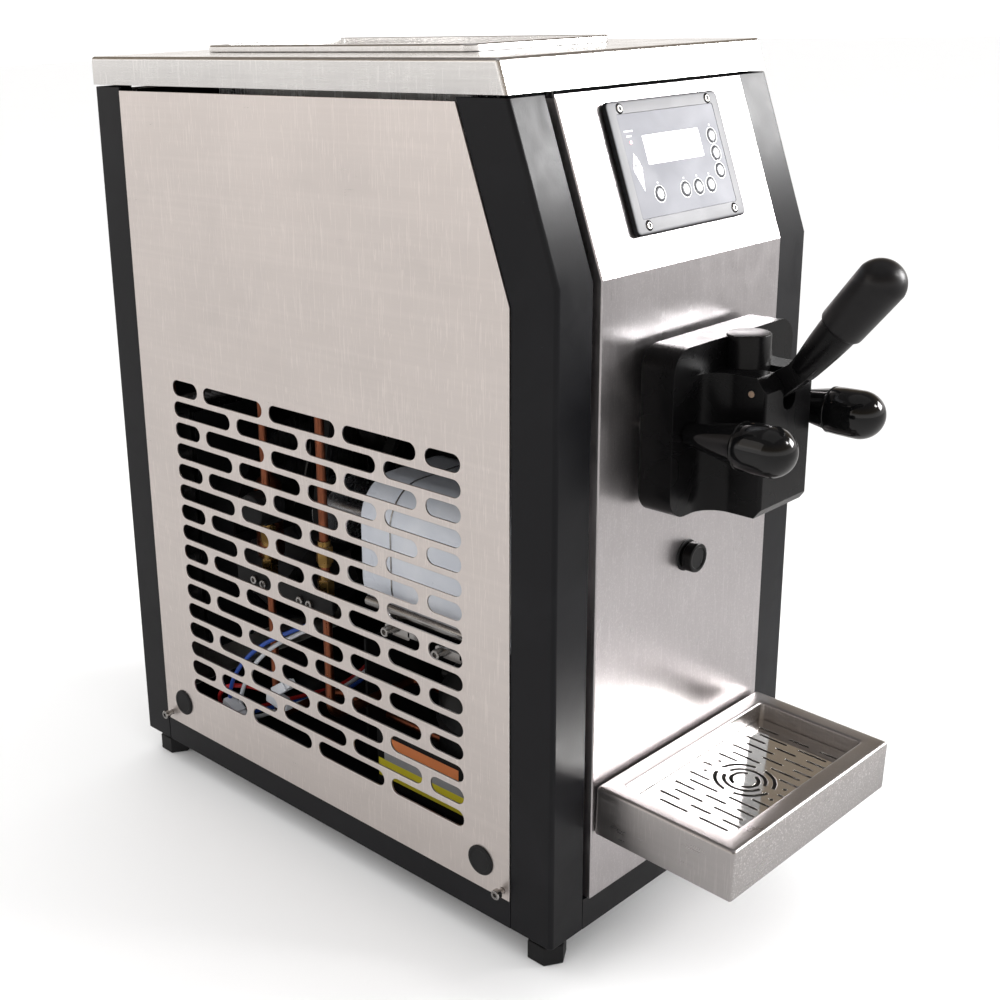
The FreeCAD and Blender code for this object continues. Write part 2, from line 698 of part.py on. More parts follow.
def make_hopper_tank():
    """Deep mix tank that hangs by its flange under the cover, with a neck to the cylinder."""
    t = dim.tank_sheet
    x, y0, y1 = dim.mouth_half, dim.mouth_front, dim.mouth_back
    floor = dim.tank_floor
    rim = dim.cover_top - dim.panel_sheet - 0.2
    outer = round_edges(
        "tank_shell", box("tank_outer", (-x - t, x + t), (y0 - t, y1 + t), (floor, rim)), 9.0,
        lambda edge: runs_along(edge, Z_AXIS) or lies_at(edge, Z_AXIS, floor))
    flange = box("tank_flange", (-x - 10, x + 10), (y0 - 10, y1 + 10), (rim - t, rim))
    neck = rod("tank_neck", 8, floor - dim.axis_height - dim.barrel_outer - 0.3, 0, dim.neck_y,
               dim.axis_height + dim.barrel_outer + 0.3)
    inner = round_edges(
        "tank_room", box("tank_inner", (-x, x), (y0, y1), (floor + t, rim + 1)), 7.8,
        lambda edge: runs_along(edge, Z_AXIS) or lies_at(edge, Z_AXIS, floor + t))
    bore = rod("neck_bore", 6, 60, 0, dim.neck_y, floor - 57)
    keep("hopper_tank", cut("tank", fuse("tank_solid", [outer, flange, neck]), [inner, bore]))


def make_hopper_lid():
    """Pressed lid: a raised rim on the cover round a shallow pan."""
    seat = dim.cover_top + 0.3
    top = seat + dim.lid_height
    inset = 4.5
    sheet_t = 1.2
    rim_in = dim.lid_half - dim.mouth_half + 1.0
    rim = round_edges(
        "lid_rim", box("lid_block", (-dim.lid_half, dim.lid_half), (dim.lid_front, dim.lid_back),
                       (seat, top)), 9.0, lambda edge: runs_along(edge, Z_AXIS))
    soft = round_edges("lid_rim_soft", rim, 1.6, lambda edge: lies_at(edge, Z_AXIS, top))
    pan = round_edges(
        "lid_pan", box("lid_pan_block", (rim_in - dim.lid_half, dim.lid_half - rim_in),
                       (dim.lid_front + rim_in, dim.lid_back - rim_in), (seat - 5, seat)), 6.0,
        lambda edge: runs_along(edge, Z_AXIS))
    room = round_edges(
        "lid_room", box("lid_room_block", (rim_in - dim.lid_half + sheet_t,
                                           dim.lid_half - rim_in - sheet_t),
                        (dim.lid_front + rim_in + sheet_t, dim.lid_back - rim_in - sheet_t),
                        (seat - 5 + sheet_t, top + 2)), inset,
        lambda edge: runs_along(edge, Z_AXIS) or lies_at(edge, Z_AXIS, seat - 5 + sheet_t))
    keep("hopper_lid", cut("lid", fuse("lid_solid", [soft, pan]), [room]))


# ================================================================== control unit

KEY_PLACES = {
    "key_upper": (39.8, 71.0), "key_middle": (39.8, 60.0), "key_lower": (39.8, 49.0),
    "key_power": (-26.3, 41.4), "key_down": (0.0, 41.4), "key_up": (13.5, 41.4),
    "key_enter": (26.5, 41.4),
}
KEY_CLEARANCE = 0.3


def key_holes(front, length):
    radius = dim.key_radius + KEY_CLEARANCE
    return [rod("key_hole", radius, length, x, front, z, "y") for x, z in KEY_PLACES.values()]


def make_control_unit():
    """Raised control housing with its membrane, display window, seven keys and four screws."""
    back = -(dim.front_proud + 0.2)
    front = back - dim.control_proud
    low, high = dim.control_low, dim.control_high
    block = box("control_block", (-dim.control_half, dim.control_half), (front, back), (low, high))
    corner = round_edges("control_corner", block, 3.0, lambda edge: runs_along(edge, Y_AXIS))
    soft = round_edges("control_edge", corner, 1.8, lambda edge: lies_at(edge, Y_AXIS, front))
    m, ml, mh = dim.membrane_half, dim.membrane_low, dim.membrane_high
    bed = front + dim.membrane_sheet + 0.1
    seat = box("membrane_seat", (-m - 0.2, m + 0.2), (front - 1, bed), (ml - 0.2, mh + 0.2))
    screw_places = [(x, z) for x in (-44.6, 44.6) for z in (24.4, 94.4)]
    bores = [rod("bezel_bore", 1.4, 8, x, front - 1, z, "y") for x, z in screw_places]
    housing = cut("control_shell", soft, [seat] + key_holes(bed - 1, 8) + bores)
    keep_on_slope("control_housing", housing)

    sheet_box = box("membrane_sheet_block", (-m, m), (front + 0.1, bed), (ml, mh))
    window_hole = box("window_hole", (-dim.window_left - 0.1, dim.window_right + 0.1),
                      (front - 1, bed + 1), (dim.window_low - 0.1, dim.window_high + 0.1))
    membrane = cut("membrane", sheet_box, [window_hole] + key_holes(front - 1, 3))
    keep_on_slope("control_membrane", membrane)
    keep_on_slope("display_window", box(
        "window_pane", (-dim.window_left, dim.window_right), (front + 0.2, bed),
        (dim.window_low, dim.window_high)))

    screws = []
    for x, z in screw_places:
        head = rod("bezel_head", 2.7, 0.9, x, front - 0.9, z, "y")
        dome = round_edges("bezel_dome", head, 0.5, lambda edge: lies_at(edge, Y_AXIS, front - 0.9))
        stem = rod("bezel_stem", 1.3, 3.4, x, front, z, "y")
        cross = [box("cross_slot", (x - a, x + a), (front - 1.5, front - 0.4), (z - b, z + b))
                 for a, b in ((1.5, 0.3), (0.3, 1.5))]
        screws.append(cut("bezel_screw", fuse("bezel_screw_solid", [dome, stem]), cross))
    keep_on_slope("control_screws", compound("control_screw_group", screws))

    for label, (x, z) in KEY_PLACES.items():
        stem = rod("key_stem", dim.key_radius, dim.key_length, x, front - 0.5, z, "y")
        keep_on_slope(label, round_edges(
            label + "_cap", stem, 0.4, lambda edge: lies_at(edge, Y_AXIS, front - 0.5)))


# ================================================== freezing cylinder and its drive

def make_cylinder():
    z = dim.axis_height
    barrel = rod("barrel_wall", dim.barrel_outer, dim.barrel_back, 0, 0, z, "y")
    collar = rod("barrel_collar", dim.collar_radius, dim.collar_front + 3, 0, -dim.collar_front, z,
                 "y")
    end = rod("barrel_end", dim.barrel_outer + 4, 4, 0, dim.barrel_back, z, "y")
    room = rod("barrel_room", dim.barrel_inner, dim.barrel_back + dim.collar_front + 1, 0,
               -dim.collar_front - 1, z, "y")
    bore = rod("shaft_hole", dim.shaft_radius + dim.running_fit, 20, 0, dim.barrel_back - 5, z, "y")
    port = rod("mix_port", 6, 10, 0, dim.neck_y, z + dim.barrel_inner - 4)
    keep("freezing_cylinder", cut("barrel", fuse("barrel_solid", [barrel, collar, end]),
                                  [room, bore, port]))
    gasket = cut("gasket_ring", rod("gasket_outer", dim.collar_radius - 0.5, 1.4, 0,
                                    -(dim.door_back - 0.1), z, "y"),
                 [rod("gasket_inner", dim.barrel_inner + 1, 3, 0, -(dim.door_back + 0.5), z, "y")])
    keep("door_gasket", gasket)


def make_evaporator():
    """Copper turns round the cylinder, with a gap where the hopper neck comes down."""
    spacing = 10.0
    turns = []
    for index in range(17):
        y = 18.0 + spacing * index
        if abs(y - dim.neck_y.number) > 12:
            turns.append(ring("coil_turn", dim.coil_radius, dim.coil_tube, 0, y, dim.axis_height))
    keep("evaporator_coil", compound("coil_group", turns))
    outer = rod("jacket_outer_wall", dim.jacket_outer, 178, 0, 12, dim.axis_height, "y")
    inner = rod("jacket_room", dim.jacket_inner, 180, 0, 11, dim.axis_height, "y")
    neck_way = rod("jacket_neck_way", 9, 80, 0, dim.neck_y, dim.axis_height)
    pipe_way = box("jacket_pipe_way", (-80, -30), (178, 200), (dim.axis_height - 7,
                                                              dim.axis_height + 7))
    keep("insulation_jacket", cut("jacket", outer, [inner, neck_way, pipe_way]))


BEATER_FRONT = -2.0
BEATER_LENGTH = 190.0


def make_beater():
    """Two-start helical beater on a central bar, with two straight plastic scraper blades."""
    reach = 38.5
    core = 9.0
    ribbon = 3.0
    middle = (reach + core) / 2 - 0.5
    flights = []
    for turn in (0, 180):
        helix = document.addObject("Part::Helix", "flight_spine")
        helix.Pitch = 95
        helix.Height = BEATER_LENGTH - 12
        helix.Radius = middle
        corners = [(core - 1, -ribbon / 2), (reach, -ribbon / 2), (reach, ribbon / 2),
                   (core - 1, ribbon / 2)]
        section = document.addObject("Part::Polygon", "flight_section")
        section.Nodes = [FreeCAD.Vector(radius, 0, height) for radius, height in corners]
        section.Close = True
        flight = document.addObject("Part::Sweep", "flight")
        flight.Sections = [section]
        flight.Spine = (helix, ["Edge1"])
        flight.Solid = True
        flight.Frenet = True
        turned_flight = compound("flight_placed", [flight])
        turned_flight.Placement = FreeCAD.Placement(
            FreeCAD.Vector(0, 0, 6), FreeCAD.Rotation(Z_AXIS, turn))
        flights.append(turned_flight)
    bar = rod("beater_bar", core, BEATER_LENGTH, 0, 0, 0)
    nose = rod("beater_nose", 5, 4, 0, 0, -4)
    socket = rod("beater_socket", 6.0, 22, 0, 0, BEATER_LENGTH - 20)
    blade_ways = [box("blade_way", (x - 3.2, x + 3.2), (-2.2, 2.2), (8, BEATER_LENGTH - 8))
                  for x in (-37.5, 37.5)]
    solid = fuse("beater_solid", [bar, nose] + flights)
    beater = cut("beater_body", solid, blade_ways + [socket])
    keep("beater", beater, y=BEATER_FRONT, z=dim.axis_height, rotation=TOWARDS["y"])
    blades = [round_edges("blade", box("blade_bar", (x - 2.0, x + 2.0), (-2.0, 2.0),
                                       (9, BEATER_LENGTH - 9)), 0.8,
                          lambda edge: runs_along(edge, Z_AXIS)) for x in (-37.0, 37.0)]
    keep("scraper_blades", compound("blade_group", blades), y=BEATER_FRONT, z=dim.axis_height,
         rotation=TOWARDS["y"])


def make_drive_train():
    """Drive shaft, gearbox, belt pulleys, belt and motor."""
    z = dim.axis_height
    shaft_front = BEATER_FRONT + BEATER_LENGTH
    fit = dim.running_fit
    spigot = rod("shaft_spigot", 5.8, 18, 0, shaft_front - 18, z, "y")
    shaft = rod("shaft_bar", dim.shaft_radius, dim.gearbox_front + 20 - shaft_front, 0,
                shaft_front, z, "y")
    keep("drive_shaft", fuse("shaft", [spigot, shaft]))

    half = dim.gearbox_half
    case = box("gearbox_case", (-half, half), (dim.gearbox_front, dim.gearbox_back),
               (z - half, z + half))
    soft = round_edges("gearbox_soft", case, 6, lambda edge: runs_along(edge, Y_AXIS))
    output = rod("output_bore", dim.shaft_radius + fit, 23, 0, dim.gearbox_front - 1, z, "y")
    entry = rod("input_bore", dim.pulley_shaft + fit, 24, 0, dim.gearbox_back - 22, z, "y")
    keep("gearbox", cut("gearbox_body", soft, [output, entry]))

    back = dim.belt_front + dim.belt_width
    for label, radius, x, height, start in (
            ("gearbox_pulley", dim.big_pulley, 0, z, dim.gearbox_back - 20),
            ("motor_pulley", dim.small_pulley, dim.motor_x, dim.motor_z, as_size(194))):
        wheel = rod(label + "_wheel", radius, dim.belt_width + 1, x, dim.belt_front - 0.5, height,
                    "y")
        rims = [rod(label + "_rim", radius + 3, 1.5, x, y, height, "y")
                for y in (dim.belt_front - 2, back + 0.5)]
        shaft = rod(label + "_shaft", dim.pulley_shaft, back + 5 - start, x, start, height, "y")
        holes = []
        if label == "gearbox_pulley":
            for step in range(5):
                angle = math.radians(72 * step)
                holes.append(rod("pulley_hole", 8, 30, 28 * math.cos(angle), dim.belt_front - 8,
                                 z + 28 * math.sin(angle), "y"))
        solid = fuse(label + "_solid", [wheel, shaft] + rims)
        keep(label, cut(label + "_body", solid, holes) if holes else solid)

    body = new_body("drive_belt")
    for grow, feature in ((0.3 + dim.belt_thick.number, pad), (0.3, pocket)):
        loop = sketch_on(body, "XZ_Plane", -(dim.belt_front + dim.belt_width))
        outline(loop, belt_corners(dim.big_pulley.number + grow, dim.small_pulley.number + grow))
        if feature is pad:
            feature(body, loop, dim.belt_width)
        else:
            feature(body, loop, both_ways=True)
    keep("drive_belt", body)

    can = rod("motor_can", dim.motor_radius, 150, dim.motor_x, 36, dim.motor_z, "y")
    soft_can = round_edges("motor_shell", can, 5, lambda edge: True)
    front_bell = rod("motor_front_bell", 44, 8, dim.motor_x, 29, dim.motor_z, "y")
    rear_bell = rod("motor_rear_bell", 36, 18, dim.motor_x, 186, dim.motor_z, "y")
    bed = box("motor_bed", (dim.motor_x - 40, dim.motor_x + 40), (60, 160),
              (dim.motor_z - dim.motor_radius - 3, dim.motor_z - dim.motor_radius + 8))
    bore = rod("motor_bore", dim.pulley_shaft + fit, 20, dim.motor_x, 190, dim.motor_z, "y")
    keep("drive_motor", cut("motor", fuse("motor_solid", [soft_can, front_bell, rear_bell, bed]),
                            [bore]))


def belt_corners(large, small):
    """Corners of a loop round both pulleys: two arcs on the large one, a run, one arc, a run."""
    far = FreeCAD.Vector(0, dim.axis_height.number, 0)
    near = FreeCAD.Vector(dim.motor_x.number, dim.motor_z.number, 0)
    reach = near - far
    heading = math.atan2(reach.y, reach.x)
    spread = math.acos((large - small) / reach.Length)

    def on_circle(centre, radius, angle):
        return centre.x + radius * math.cos(angle), centre.y + radius * math.sin(angle)

    return [
        (*on_circle(far, large, heading + spread), large),
        (*on_circle(far, large, heading + math.pi), large),
        on_circle(far, large, heading - spread),
        (*on_circle(near, small, heading - spread), small),
        on_circle(near, small, heading + spread)]


# ================================================================= refrigeration

def make_compressor():
    r = dim.compressor_radius
    shell = turned("compressor_shell", [
        (0, 12), (r - 6, 12), (r, 20), (r, 108, dome_radius(r, as_size(38))), (0, 146)])
    seam = ring("compressor_seam", r + 0.4, 1.8, 0, 0, 92, "z")
    base = box("compressor_base", (-52, 52), (-52, 52), (8.5, 12.5))
    soft = round_edges("compressor_foot_plate", base, 16, lambda edge: runs_along(edge, Z_AXIS))
    mounts = [rod("rubber_mount", 7, 8.5 - 2.3, x, y, 2.3) for x in (-44, 44) for y in (-44, 44)]
    stub = rod("process_stub", 4, 20, 0, r - 4, 100, "y")
    keep("compressor", fuse("compressor_group", [shell, seam, soft, stub] + mounts),
         x=dim.compressor_x, y=dim.compressor_y)


def make_condenser():
    """Fin pack threaded on hairpin tubes."""
    low, high = dim.fan_z - 102, dim.fan_z + 102
    fins = [box("condenser_fin", (-96 + 6 * i, -95.2 + 6 * i), (398, 432), (low, high))
            for i in range(33)]
    tubes = [rod("condenser_tube", 4, 206, -103, y, low + 16 + 30 * i, "x")
             for y in (407, 423) for i in range(7)]
    keep("condenser", fuse("condenser_pack", fins + tubes))


def make_fan():
    z = dim.fan_z
    y = dim.fan_y
    plate = box("shroud_plate", (-100, 100), (y + 16, y + 18), (z - 102, z + 102))
    collar = rod("shroud_collar", dim.fan_radius + 6, 32, 0, y - 14, z, "y")
    throat = rod("shroud_throat", dim.fan_radius + 4, 60, 0, y - 20, z, "y")
    shroud = cut("shroud_ring", fuse("shroud_solid", [plate, collar]), [throat])
    arms = [box("fan_arm", (a, b), (y - 14, y - 11), (c, d)) for a, b, c, d in (
        (-91, 91, z - 4, z + 4), (-4, 4, z - 91, z + 91))]
    can = rod("fan_motor_can", 27, 34, 0, y - 45, z, "y")
    bore = rod("fan_motor_bore", 3 + dim.running_fit, 30, 0, y - 28.5, z, "y")
    keep("fan_shroud", cut("fan_frame", fuse("fan_frame_solid", [shroud, can] + arms), [bore]))

    hub = rod("fan_hub", 20, 16, 0, 0, -8)
    shaft = rod("fan_shaft", 3, 22, 0, 0, -28)
    blades = []
    for step in range(5):
        blade = box("fan_blade_plate", (15, dim.fan_radius), (-22, 22), (-0.8, 0.8))
        pitch = FreeCAD.Rotation(X_AXIS, 24)
        blade.Placement = FreeCAD.Placement(
            ORIGIN, FreeCAD.Rotation(Z_AXIS, 72 * step)).multiply(
                FreeCAD.Placement(ORIGIN, pitch)).multiply(
                    FreeCAD.Placement(FreeCAD.Vector(15, -22, -0.8), FreeCAD.Rotation()))
        blades.append(blade)
    keep("fan_blade", fuse("fan_wheel", [hub, shaft] + blades), y=y, z=z, rotation=TOWARDS["y"])


def pipe(name, points, radius, bend):
    """Round tube along straight runs joined by tangent arcs."""
    vectors = [FreeCAD.Vector(*(number_of(value) for value in point)) for point in points]
    edges = []
    last = vectors[0]
    for before, corner, after in zip(vectors, vectors[1:], vectors[2:]):
        arrive = (corner - before).normalize()
        leave = (after - corner).normalize()
        half_turn = arrive.getAngle(leave) / 2
        reach = bend * math.tan(half_turn)
        start = corner - arrive * reach
        end = corner + leave * reach
        inward = (leave - arrive).normalize()
        middle = corner + inward * (bend / math.cos(half_turn) - bend)
        edges.append(Part.LineSegment(last, start).toShape())
        edges.append(Part.Arc(start, middle, end).toShape())
        last = end
    edges.append(Part.LineSegment(last, vectors[-1]).toShape())
    path = Part.Wire(edges)
    heading = (vectors[1] - vectors[0]).normalize()
    ring_wire = Part.Wire([Part.Circle(vectors[0], heading, number_of(radius)).toShape()])
    return shape_feature(name, path.makePipeShell([ring_wire], True, False))


def make_plumbing():
    r = dim.pipe_radius
    cx, cy = dim.compressor_x, dim.compressor_y + dim.compressor_radius
    suction = pipe("suction_pipe", [
        (cx + 20, cy - 0.6, 70), (cx + 20, 238, 70), (-100, 238, 70), (-100, 238, 334.0),
        (-100, 186, 334.0), (-52.5, 186, 334.0)], r, 14)
    keep("suction_line", suction)
    hot = pipe("hot_gas_pipe", [
        (cx - 8, cy + 0.2, 48), (cx - 8, 302, 48), (-100, 302, 48), (-100, 302, 322),
        (-100, 414.0, 322), (-100, 414.0, dim.fan_z + 103)], r, 14)
    valve = box("valve_block", (-110, -90), (292, 312), (196, 222))
    coil = rod("valve_coil", 13, 26, -116, 302, 209, "x")
    keep("hot_gas_line", fuse("hot_gas_group", [hot, valve, coil]))
    drier = turned("drier_body", [
        (0, 0), (3.2, 0), (3.2, 10), (11, 20), (11, 78), (3.2, 88), (3.2, 98), (0, 98)])
    keep("filter_drier", drier, x=-72, y=334, z=150)


def make_electrics():
    case = box("control_case", (66, 118), (60, 236), (60, 236))
    soft = round_edges("control_case_soft", case, 4, lambda edge: runs_along(edge, X_AXIS))
    lid_line = box("case_groove", (65, 66.8), (70, 226), (70, 226))
    fins = [box("case_fin", (118, 121), (80 + 18 * i, 84 + 18 * i), (80, 216)) for i in range(8)]
    keep("control_case", fuse("control_case_body", [cut("case_cut", soft, [lid_line])] + fins))
    wires = []
    for index in range(3):
        shift = 4.4 * index
        wires.append(pipe("wire", [
            (92 - shift, 237.0, 92), (92 - shift, 322 + shift, 60 - shift),
            (10, 338 + shift, 20), (-96, 336 + shift, 24 + shift),
            (-112, 326 + shift, 92), (-104 + shift, 318 + shift, 176)], 1.6, 12))
    keep("wire_harness", compound("wire_group", wires))


# ============================================================ dispensing head

def make_door():
    """Moulded freezer door: a thick plate, a block that carries the valve bore, and a lever slot."""
    z0, z1 = dim.door_low, dim.door_high
    body = new_body("freezer_door")
    plate = sketch_on(body, "XZ_Plane", dim.door_back)
    h, r = dim.door_half, dim.door_corner
    outline(plate, [
        (r - h, z0), (h - r, z0, r), (h, z0 + r), (h, z1 - r, r), (h - r, z1),
        (r - h, z1, r), (-h, z1 - r), (-h, z0 + r, r)])
    pad(body, plate, dim.door_front - dim.door_back)
    soften(body, 1.6, lambda edge: lies_at(edge, Y_AXIS, -dim.door_front))
    block = sketch_on(body, "XY_Plane", z0)
    b, front, deep = dim.block_half, -dim.block_front, -dim.door_front
    flare = 16.0
    outline(block, [
        (-b - flare, deep + 1), (-b - flare, deep, -flare), (-b, deep - flare), (-b, front),
        (b, front), (b, deep - flare, -flare), (b + flare, deep), (b + flare, deep + 1)])
    pad(body, block, dim.block_top - z0)
    soften(body, 2.2, lambda edge: runs_along(edge, Z_AXIS) and lies_at(edge, Y_AXIS, front))
    wedge = sketch_on(body, "YZ_Plane")
    outline(wedge, [(front - 1.5, dim.block_top - 10.8), (front + 7.2, dim.block_top + 1.0),
                    (front - 1.5, dim.block_top + 1.0)])
    pocket(body, wedge, both_ways=True)
    slot = sketch_on(body, "XZ_Plane", dim.block_front + 5)
    s = dim.lever_slot / 2
    outline(slot, [(-s, z1 + 5), (-s, dim.slot_floor + s, s + 0.02),
                   (s, dim.slot_floor + s), (s, z1 + 5)])
    pocket(body, slot, dim.block_front + 5 - dim.piston_y)
    bore = sketch_on(body, "XY_Plane", z1 + 5)
    circle(bore, 0, -dim.piston_y, dim.piston_radius + dim.running_fit)
    pocket(body, bore, z1 + 5 - dim.piston_low + 0.3)
    outlet = sketch_on(body, "XY_Plane", z0 - 5)
    circle(outlet, 0, -dim.piston_y, 8.5)
    pocket(body, outlet, 40, backwards=True)
    holes = sketch_on(body, "XZ_Plane")
    for x in (-dim.stud_x, dim.stud_x):
        circle(holes, x, dim.axis_height, dim.stud_radius + 0.3)
    pocket(body, holes, both_ways=True)
    passage = sketch_on(body, "XZ_Plane")
    circle(passage, 0, 304, 6)
    pocket(body, passage, dim.piston_y)
    pin_hole = sketch_on(body, "YZ_Plane")
    circle(pin_hole, -dim.pivot_y, dim.pivot_z, dim.pin_radius + 0.1)
    pocket(body, pin_hole, both_ways=True)
    keep("freezer_door", body)


def make_lever_pin():
    keep("lever_pin", rod("pin_bar", dim.pin_radius, dim.block_half * 2 + 1.0,
                          -dim.block_half - 0.5, -dim.pivot_y, dim.pivot_z, "x"))


def make_door_fasteners():
    studs = [rod("stud_bar", dim.stud_radius, 56, x, -54, dim.axis_height, "y")
             for x in (-dim.stud_x, dim.stud_x)]
    keep("door_studs", compound("stud_group", studs))
    length, r = dim.nut_length, dim.nut_radius
    dome = as_size(14.5)
    for label, x in (("left_hand_nut", -dim.stud_x), ("right_hand_nut", dim.stud_x)):
        nut = turned(label + "_turned", [
            (0, 0), (5.2, 0), (6.0, 0.8), (13.2, 36), (13.2, 37.4), (14.5, 38.2),
            (r, length - dome, dome_radius(r, dome)), (0, length)])
        bore = rod("nut_bore", dim.stud_radius + dim.running_fit, 24, 0, 0, -1)
        keep(label, cut(label + "_body", nut, [bore]), x=x, y=-(dim.door_front + 0.3),
             z=dim.axis_height, rotation=TOWARDS["-y"])


def make_piston():
    """Draw piston whose cross window takes the finger of the lever."""
    y, r = dim.piston_y, dim.piston_radius
    bar = rod("piston_bar", r, dim.piston_top - dim.piston_low, 0, -y, dim.piston_low)
    soft = round_edges("piston_soft", bar, 0.8, lambda edge: lies_at(edge, Z_AXIS, dim.piston_top))
    drop = dim.finger_reach * math.sin(math.radians(dim.finger_angle.number))
    middle = dim.pivot_z - drop
    wide = box("window_front", (-7.4, 7.4), (-y - r - 1, -y - 3), (middle - 9.2, middle + 9.2))
    snug = box("window_back", (-7.4, 7.4), (-y - 4, -y + 5), (middle - 4.7, middle + 4.7))
    grooves = [cut("groove_ring", rod("groove_outer", r + 1, 2.4, 0, -y, z),
                   [rod("groove_inner", r - 1.8, 4, 0, -y, z - 1)]) for z in (315.0, 322.0)]
    keep("draw_piston", cut("piston", soft, [wide, snug] + grooves))


def make_lever():
    """Draw lever: hub and finger in the slot, blade, round neck and plastic grip."""
    y0, z0 = -dim.pivot_y, dim.pivot_z
    tilt = math.radians(dim.handle_angle.number)
    offset = 6.2
    thick = 12.0
    along = FreeCAD.Vector(0, -math.cos(tilt), math.sin(tilt))
    below = FreeCAD.Vector(0, -math.sin(tilt), -math.cos(tilt))
    pivot = FreeCAD.Vector(0, y0.number, z0.number)
    foot = pivot + below * offset
    hub = rod("lever_hub", 5.9, thick, -thick / 2, y0, z0, "x")
    reach = dim.finger_reach.number
    dip = math.radians(dim.finger_angle.number)
    arm_box = document.addObject("Part::Box", "lever_finger")
    arm_box.Length = thick
    arm_box.Width = reach
    arm_box.Height = 6
    turn = FreeCAD.Rotation(X_AXIS, -math.degrees(dip))
    arm_box.Placement = FreeCAD.Placement(pivot, turn).multiply(
        FreeCAD.Placement(FreeCAD.Vector(-thick / 2, 0, -3), FreeCAD.Rotation()))
    knuckle = rod("finger_tip", 4, thick, -thick / 2, y0 + reach * math.cos(dip),
                  z0 - reach * math.sin(dip), "x")
    neck_start = 19.0
    blade_points = [foot + along * -7 + below * -1, foot + along * -2 + below * 2.5,
                    foot + along * neck_start + below * 7.6,
                    foot + along * neck_start + below * -7.8,
                    foot + along * 4 + below * -12.5]
    wire = Part.makePolygon(blade_points + blade_points[:1])
    blade = shape_feature("lever_blade", Part.Face(wire).extrude(X_AXIS * thick))
    blade.Placement = FreeCAD.Placement(X_AXIS * (-thick / 2), FreeCAD.Rotation())
    upward = FreeCAD.Rotation(Z_AXIS, along)
    neck_length = GRIP_START - neck_start
    neck = document.addObject("Part::Cone", "lever_neck")
    neck.Radius1 = 8.2
    neck.Radius2 = 11.4
    neck.Height = neck_length
    neck.Placement = FreeCAD.Placement(foot + along * neck_start, upward)
    spigot = document.addObject("Part::Cylinder", "lever_spigot")
    spigot.Radius = 7.8
    spigot.Height = 28
    spigot.Placement = FreeCAD.Placement(foot + along * GRIP_START, upward)
    bore = rod("lever_bore", dim.pin_radius + dim.running_fit, 40, -20, y0, z0, "x")
    solid = fuse("lever_solid", [hub, arm_box, knuckle, blade, neck, spigot])
    keep("draw_lever", cut("lever", solid, [bore]))

    r, length = dim.grip_radius, dim.grip_length
    dome = as_size(13.0)
    grip = turned("grip_turned", [
        (0, 0), (11.8, 0), (13.3, 1.6), (r, length - dome, dome_radius(r, dome)), (0, length)])
    socket = rod("grip_socket", 8.0, 29, 0, 0, -0.5)
    sleeve = cut("grip_body", grip, [socket])
    base = foot + along * (GRIP_START + 0.05)
    keep("lever_grip", sleeve, y=base.y, z=base.z, rotation=upward)


GRIP_START = 55.0


def make_drain_cap():
    """Stopper on the drain stub under the door."""
    r = dim.cap_radius
    cap = turned("cap_turned", [
        (0, -8), (r - 1.6, -8), (r - 1.6, 2.4), (r, 3.2), (r, 8.4, 1.0), (r - 1.0, 9.4), (0, 9.4)])
    keep("drain_cap", cap, y=-(dim.front_proud + 0.3), z=dim.cap_z, rotation=TOWARDS["-y"])


# ======================================================================= drip tray

def tray_place(label, thing):
    """Seat a piece of the tray, drawn from the top of its rear edge, with the tray's slight sag."""
    turn = FreeCAD.Rotation(X_AXIS, dim.tray_sag.number)
    place(thing, 0.0, dim.front_y - dim.tray_gap, dim.foot_height + dim.tray_top, turn)
    thing.setExpression(".Placement.Rotation.Angle", "dims.tray_sag")
    thing.Label = label
    nodes[label] = thing


def make_tray():
    """Hollow-walled stainless tray with a ledge that carries the grid."""
    x, depth, rim = dim.tray_half, dim.tray_depth, dim.tray_rim
    height, drop = dim.tray_height, dim.grid_drop
    block = box("tray_block", (-x, x), (-depth, 0), (-height, 0))
    soft = round_edges("tray_soft", block, 2.4, lambda edge: not lies_at(edge, Y_AXIS, 0))
    well = box("tray_well", (rim - x, x - rim), (rim - depth, -rim), (-drop - dim.grid_sheet - 0.1, 1))
    ledge = dim.tray_ledge + rim
    sump = round_edges(
        "tray_sump", box("tray_sump_block", (ledge - x, x - ledge), (ledge - depth, -ledge),
                         (1.5 - height, 1)), 4.0,
        lambda edge: runs_along(edge, Z_AXIS) or lies_at(edge, Z_AXIS, 1.5 - height))
    tray_place("drip_tray", cut("tray", soft, [well, sump]))


def stadium(x, y_low, y_high, width):
    """Face of a narrow slot that runs along Y."""
    r = width / 2
    edges = [
        Part.LineSegment(FreeCAD.Vector(x - r, y_high, 0), FreeCAD.Vector(x - r, y_low, 0)),
        Part.Arc(FreeCAD.Vector(x - r, y_low, 0), FreeCAD.Vector(x, y_low - r, 0),
                 FreeCAD.Vector(x + r, y_low, 0)),
        Part.LineSegment(FreeCAD.Vector(x + r, y_low, 0), FreeCAD.Vector(x + r, y_high, 0)),
        Part.Arc(FreeCAD.Vector(x + r, y_high, 0), FreeCAD.Vector(x, y_high + r, 0),
                 FreeCAD.Vector(x - r, y_high, 0))]
    return Part.Face(Part.Wire([edge.toShape() for edge in edges]))


def arc_slot(centre, radius, start, stop, width):
    """Face of a curved slot about a centre, angles in degrees."""
    points = []
    for r in (radius - width / 2, radius + width / 2):
        row = []
        for angle in (start, (start + stop) / 2, stop):
            a = math.radians(angle)
            row.append(centre + FreeCAD.Vector(r * math.cos(a), r * math.sin(a), 0))
        points.append(row)
    inner, outer = points
    edges = [Part.Arc(*inner), Part.LineSegment(inner[2], outer[2]), Part.Arc(*outer[::-1]),
             Part.LineSegment(outer[0], inner[0])]
    return Part.Face(Part.Wire([edge.toShape() for edge in edges]))


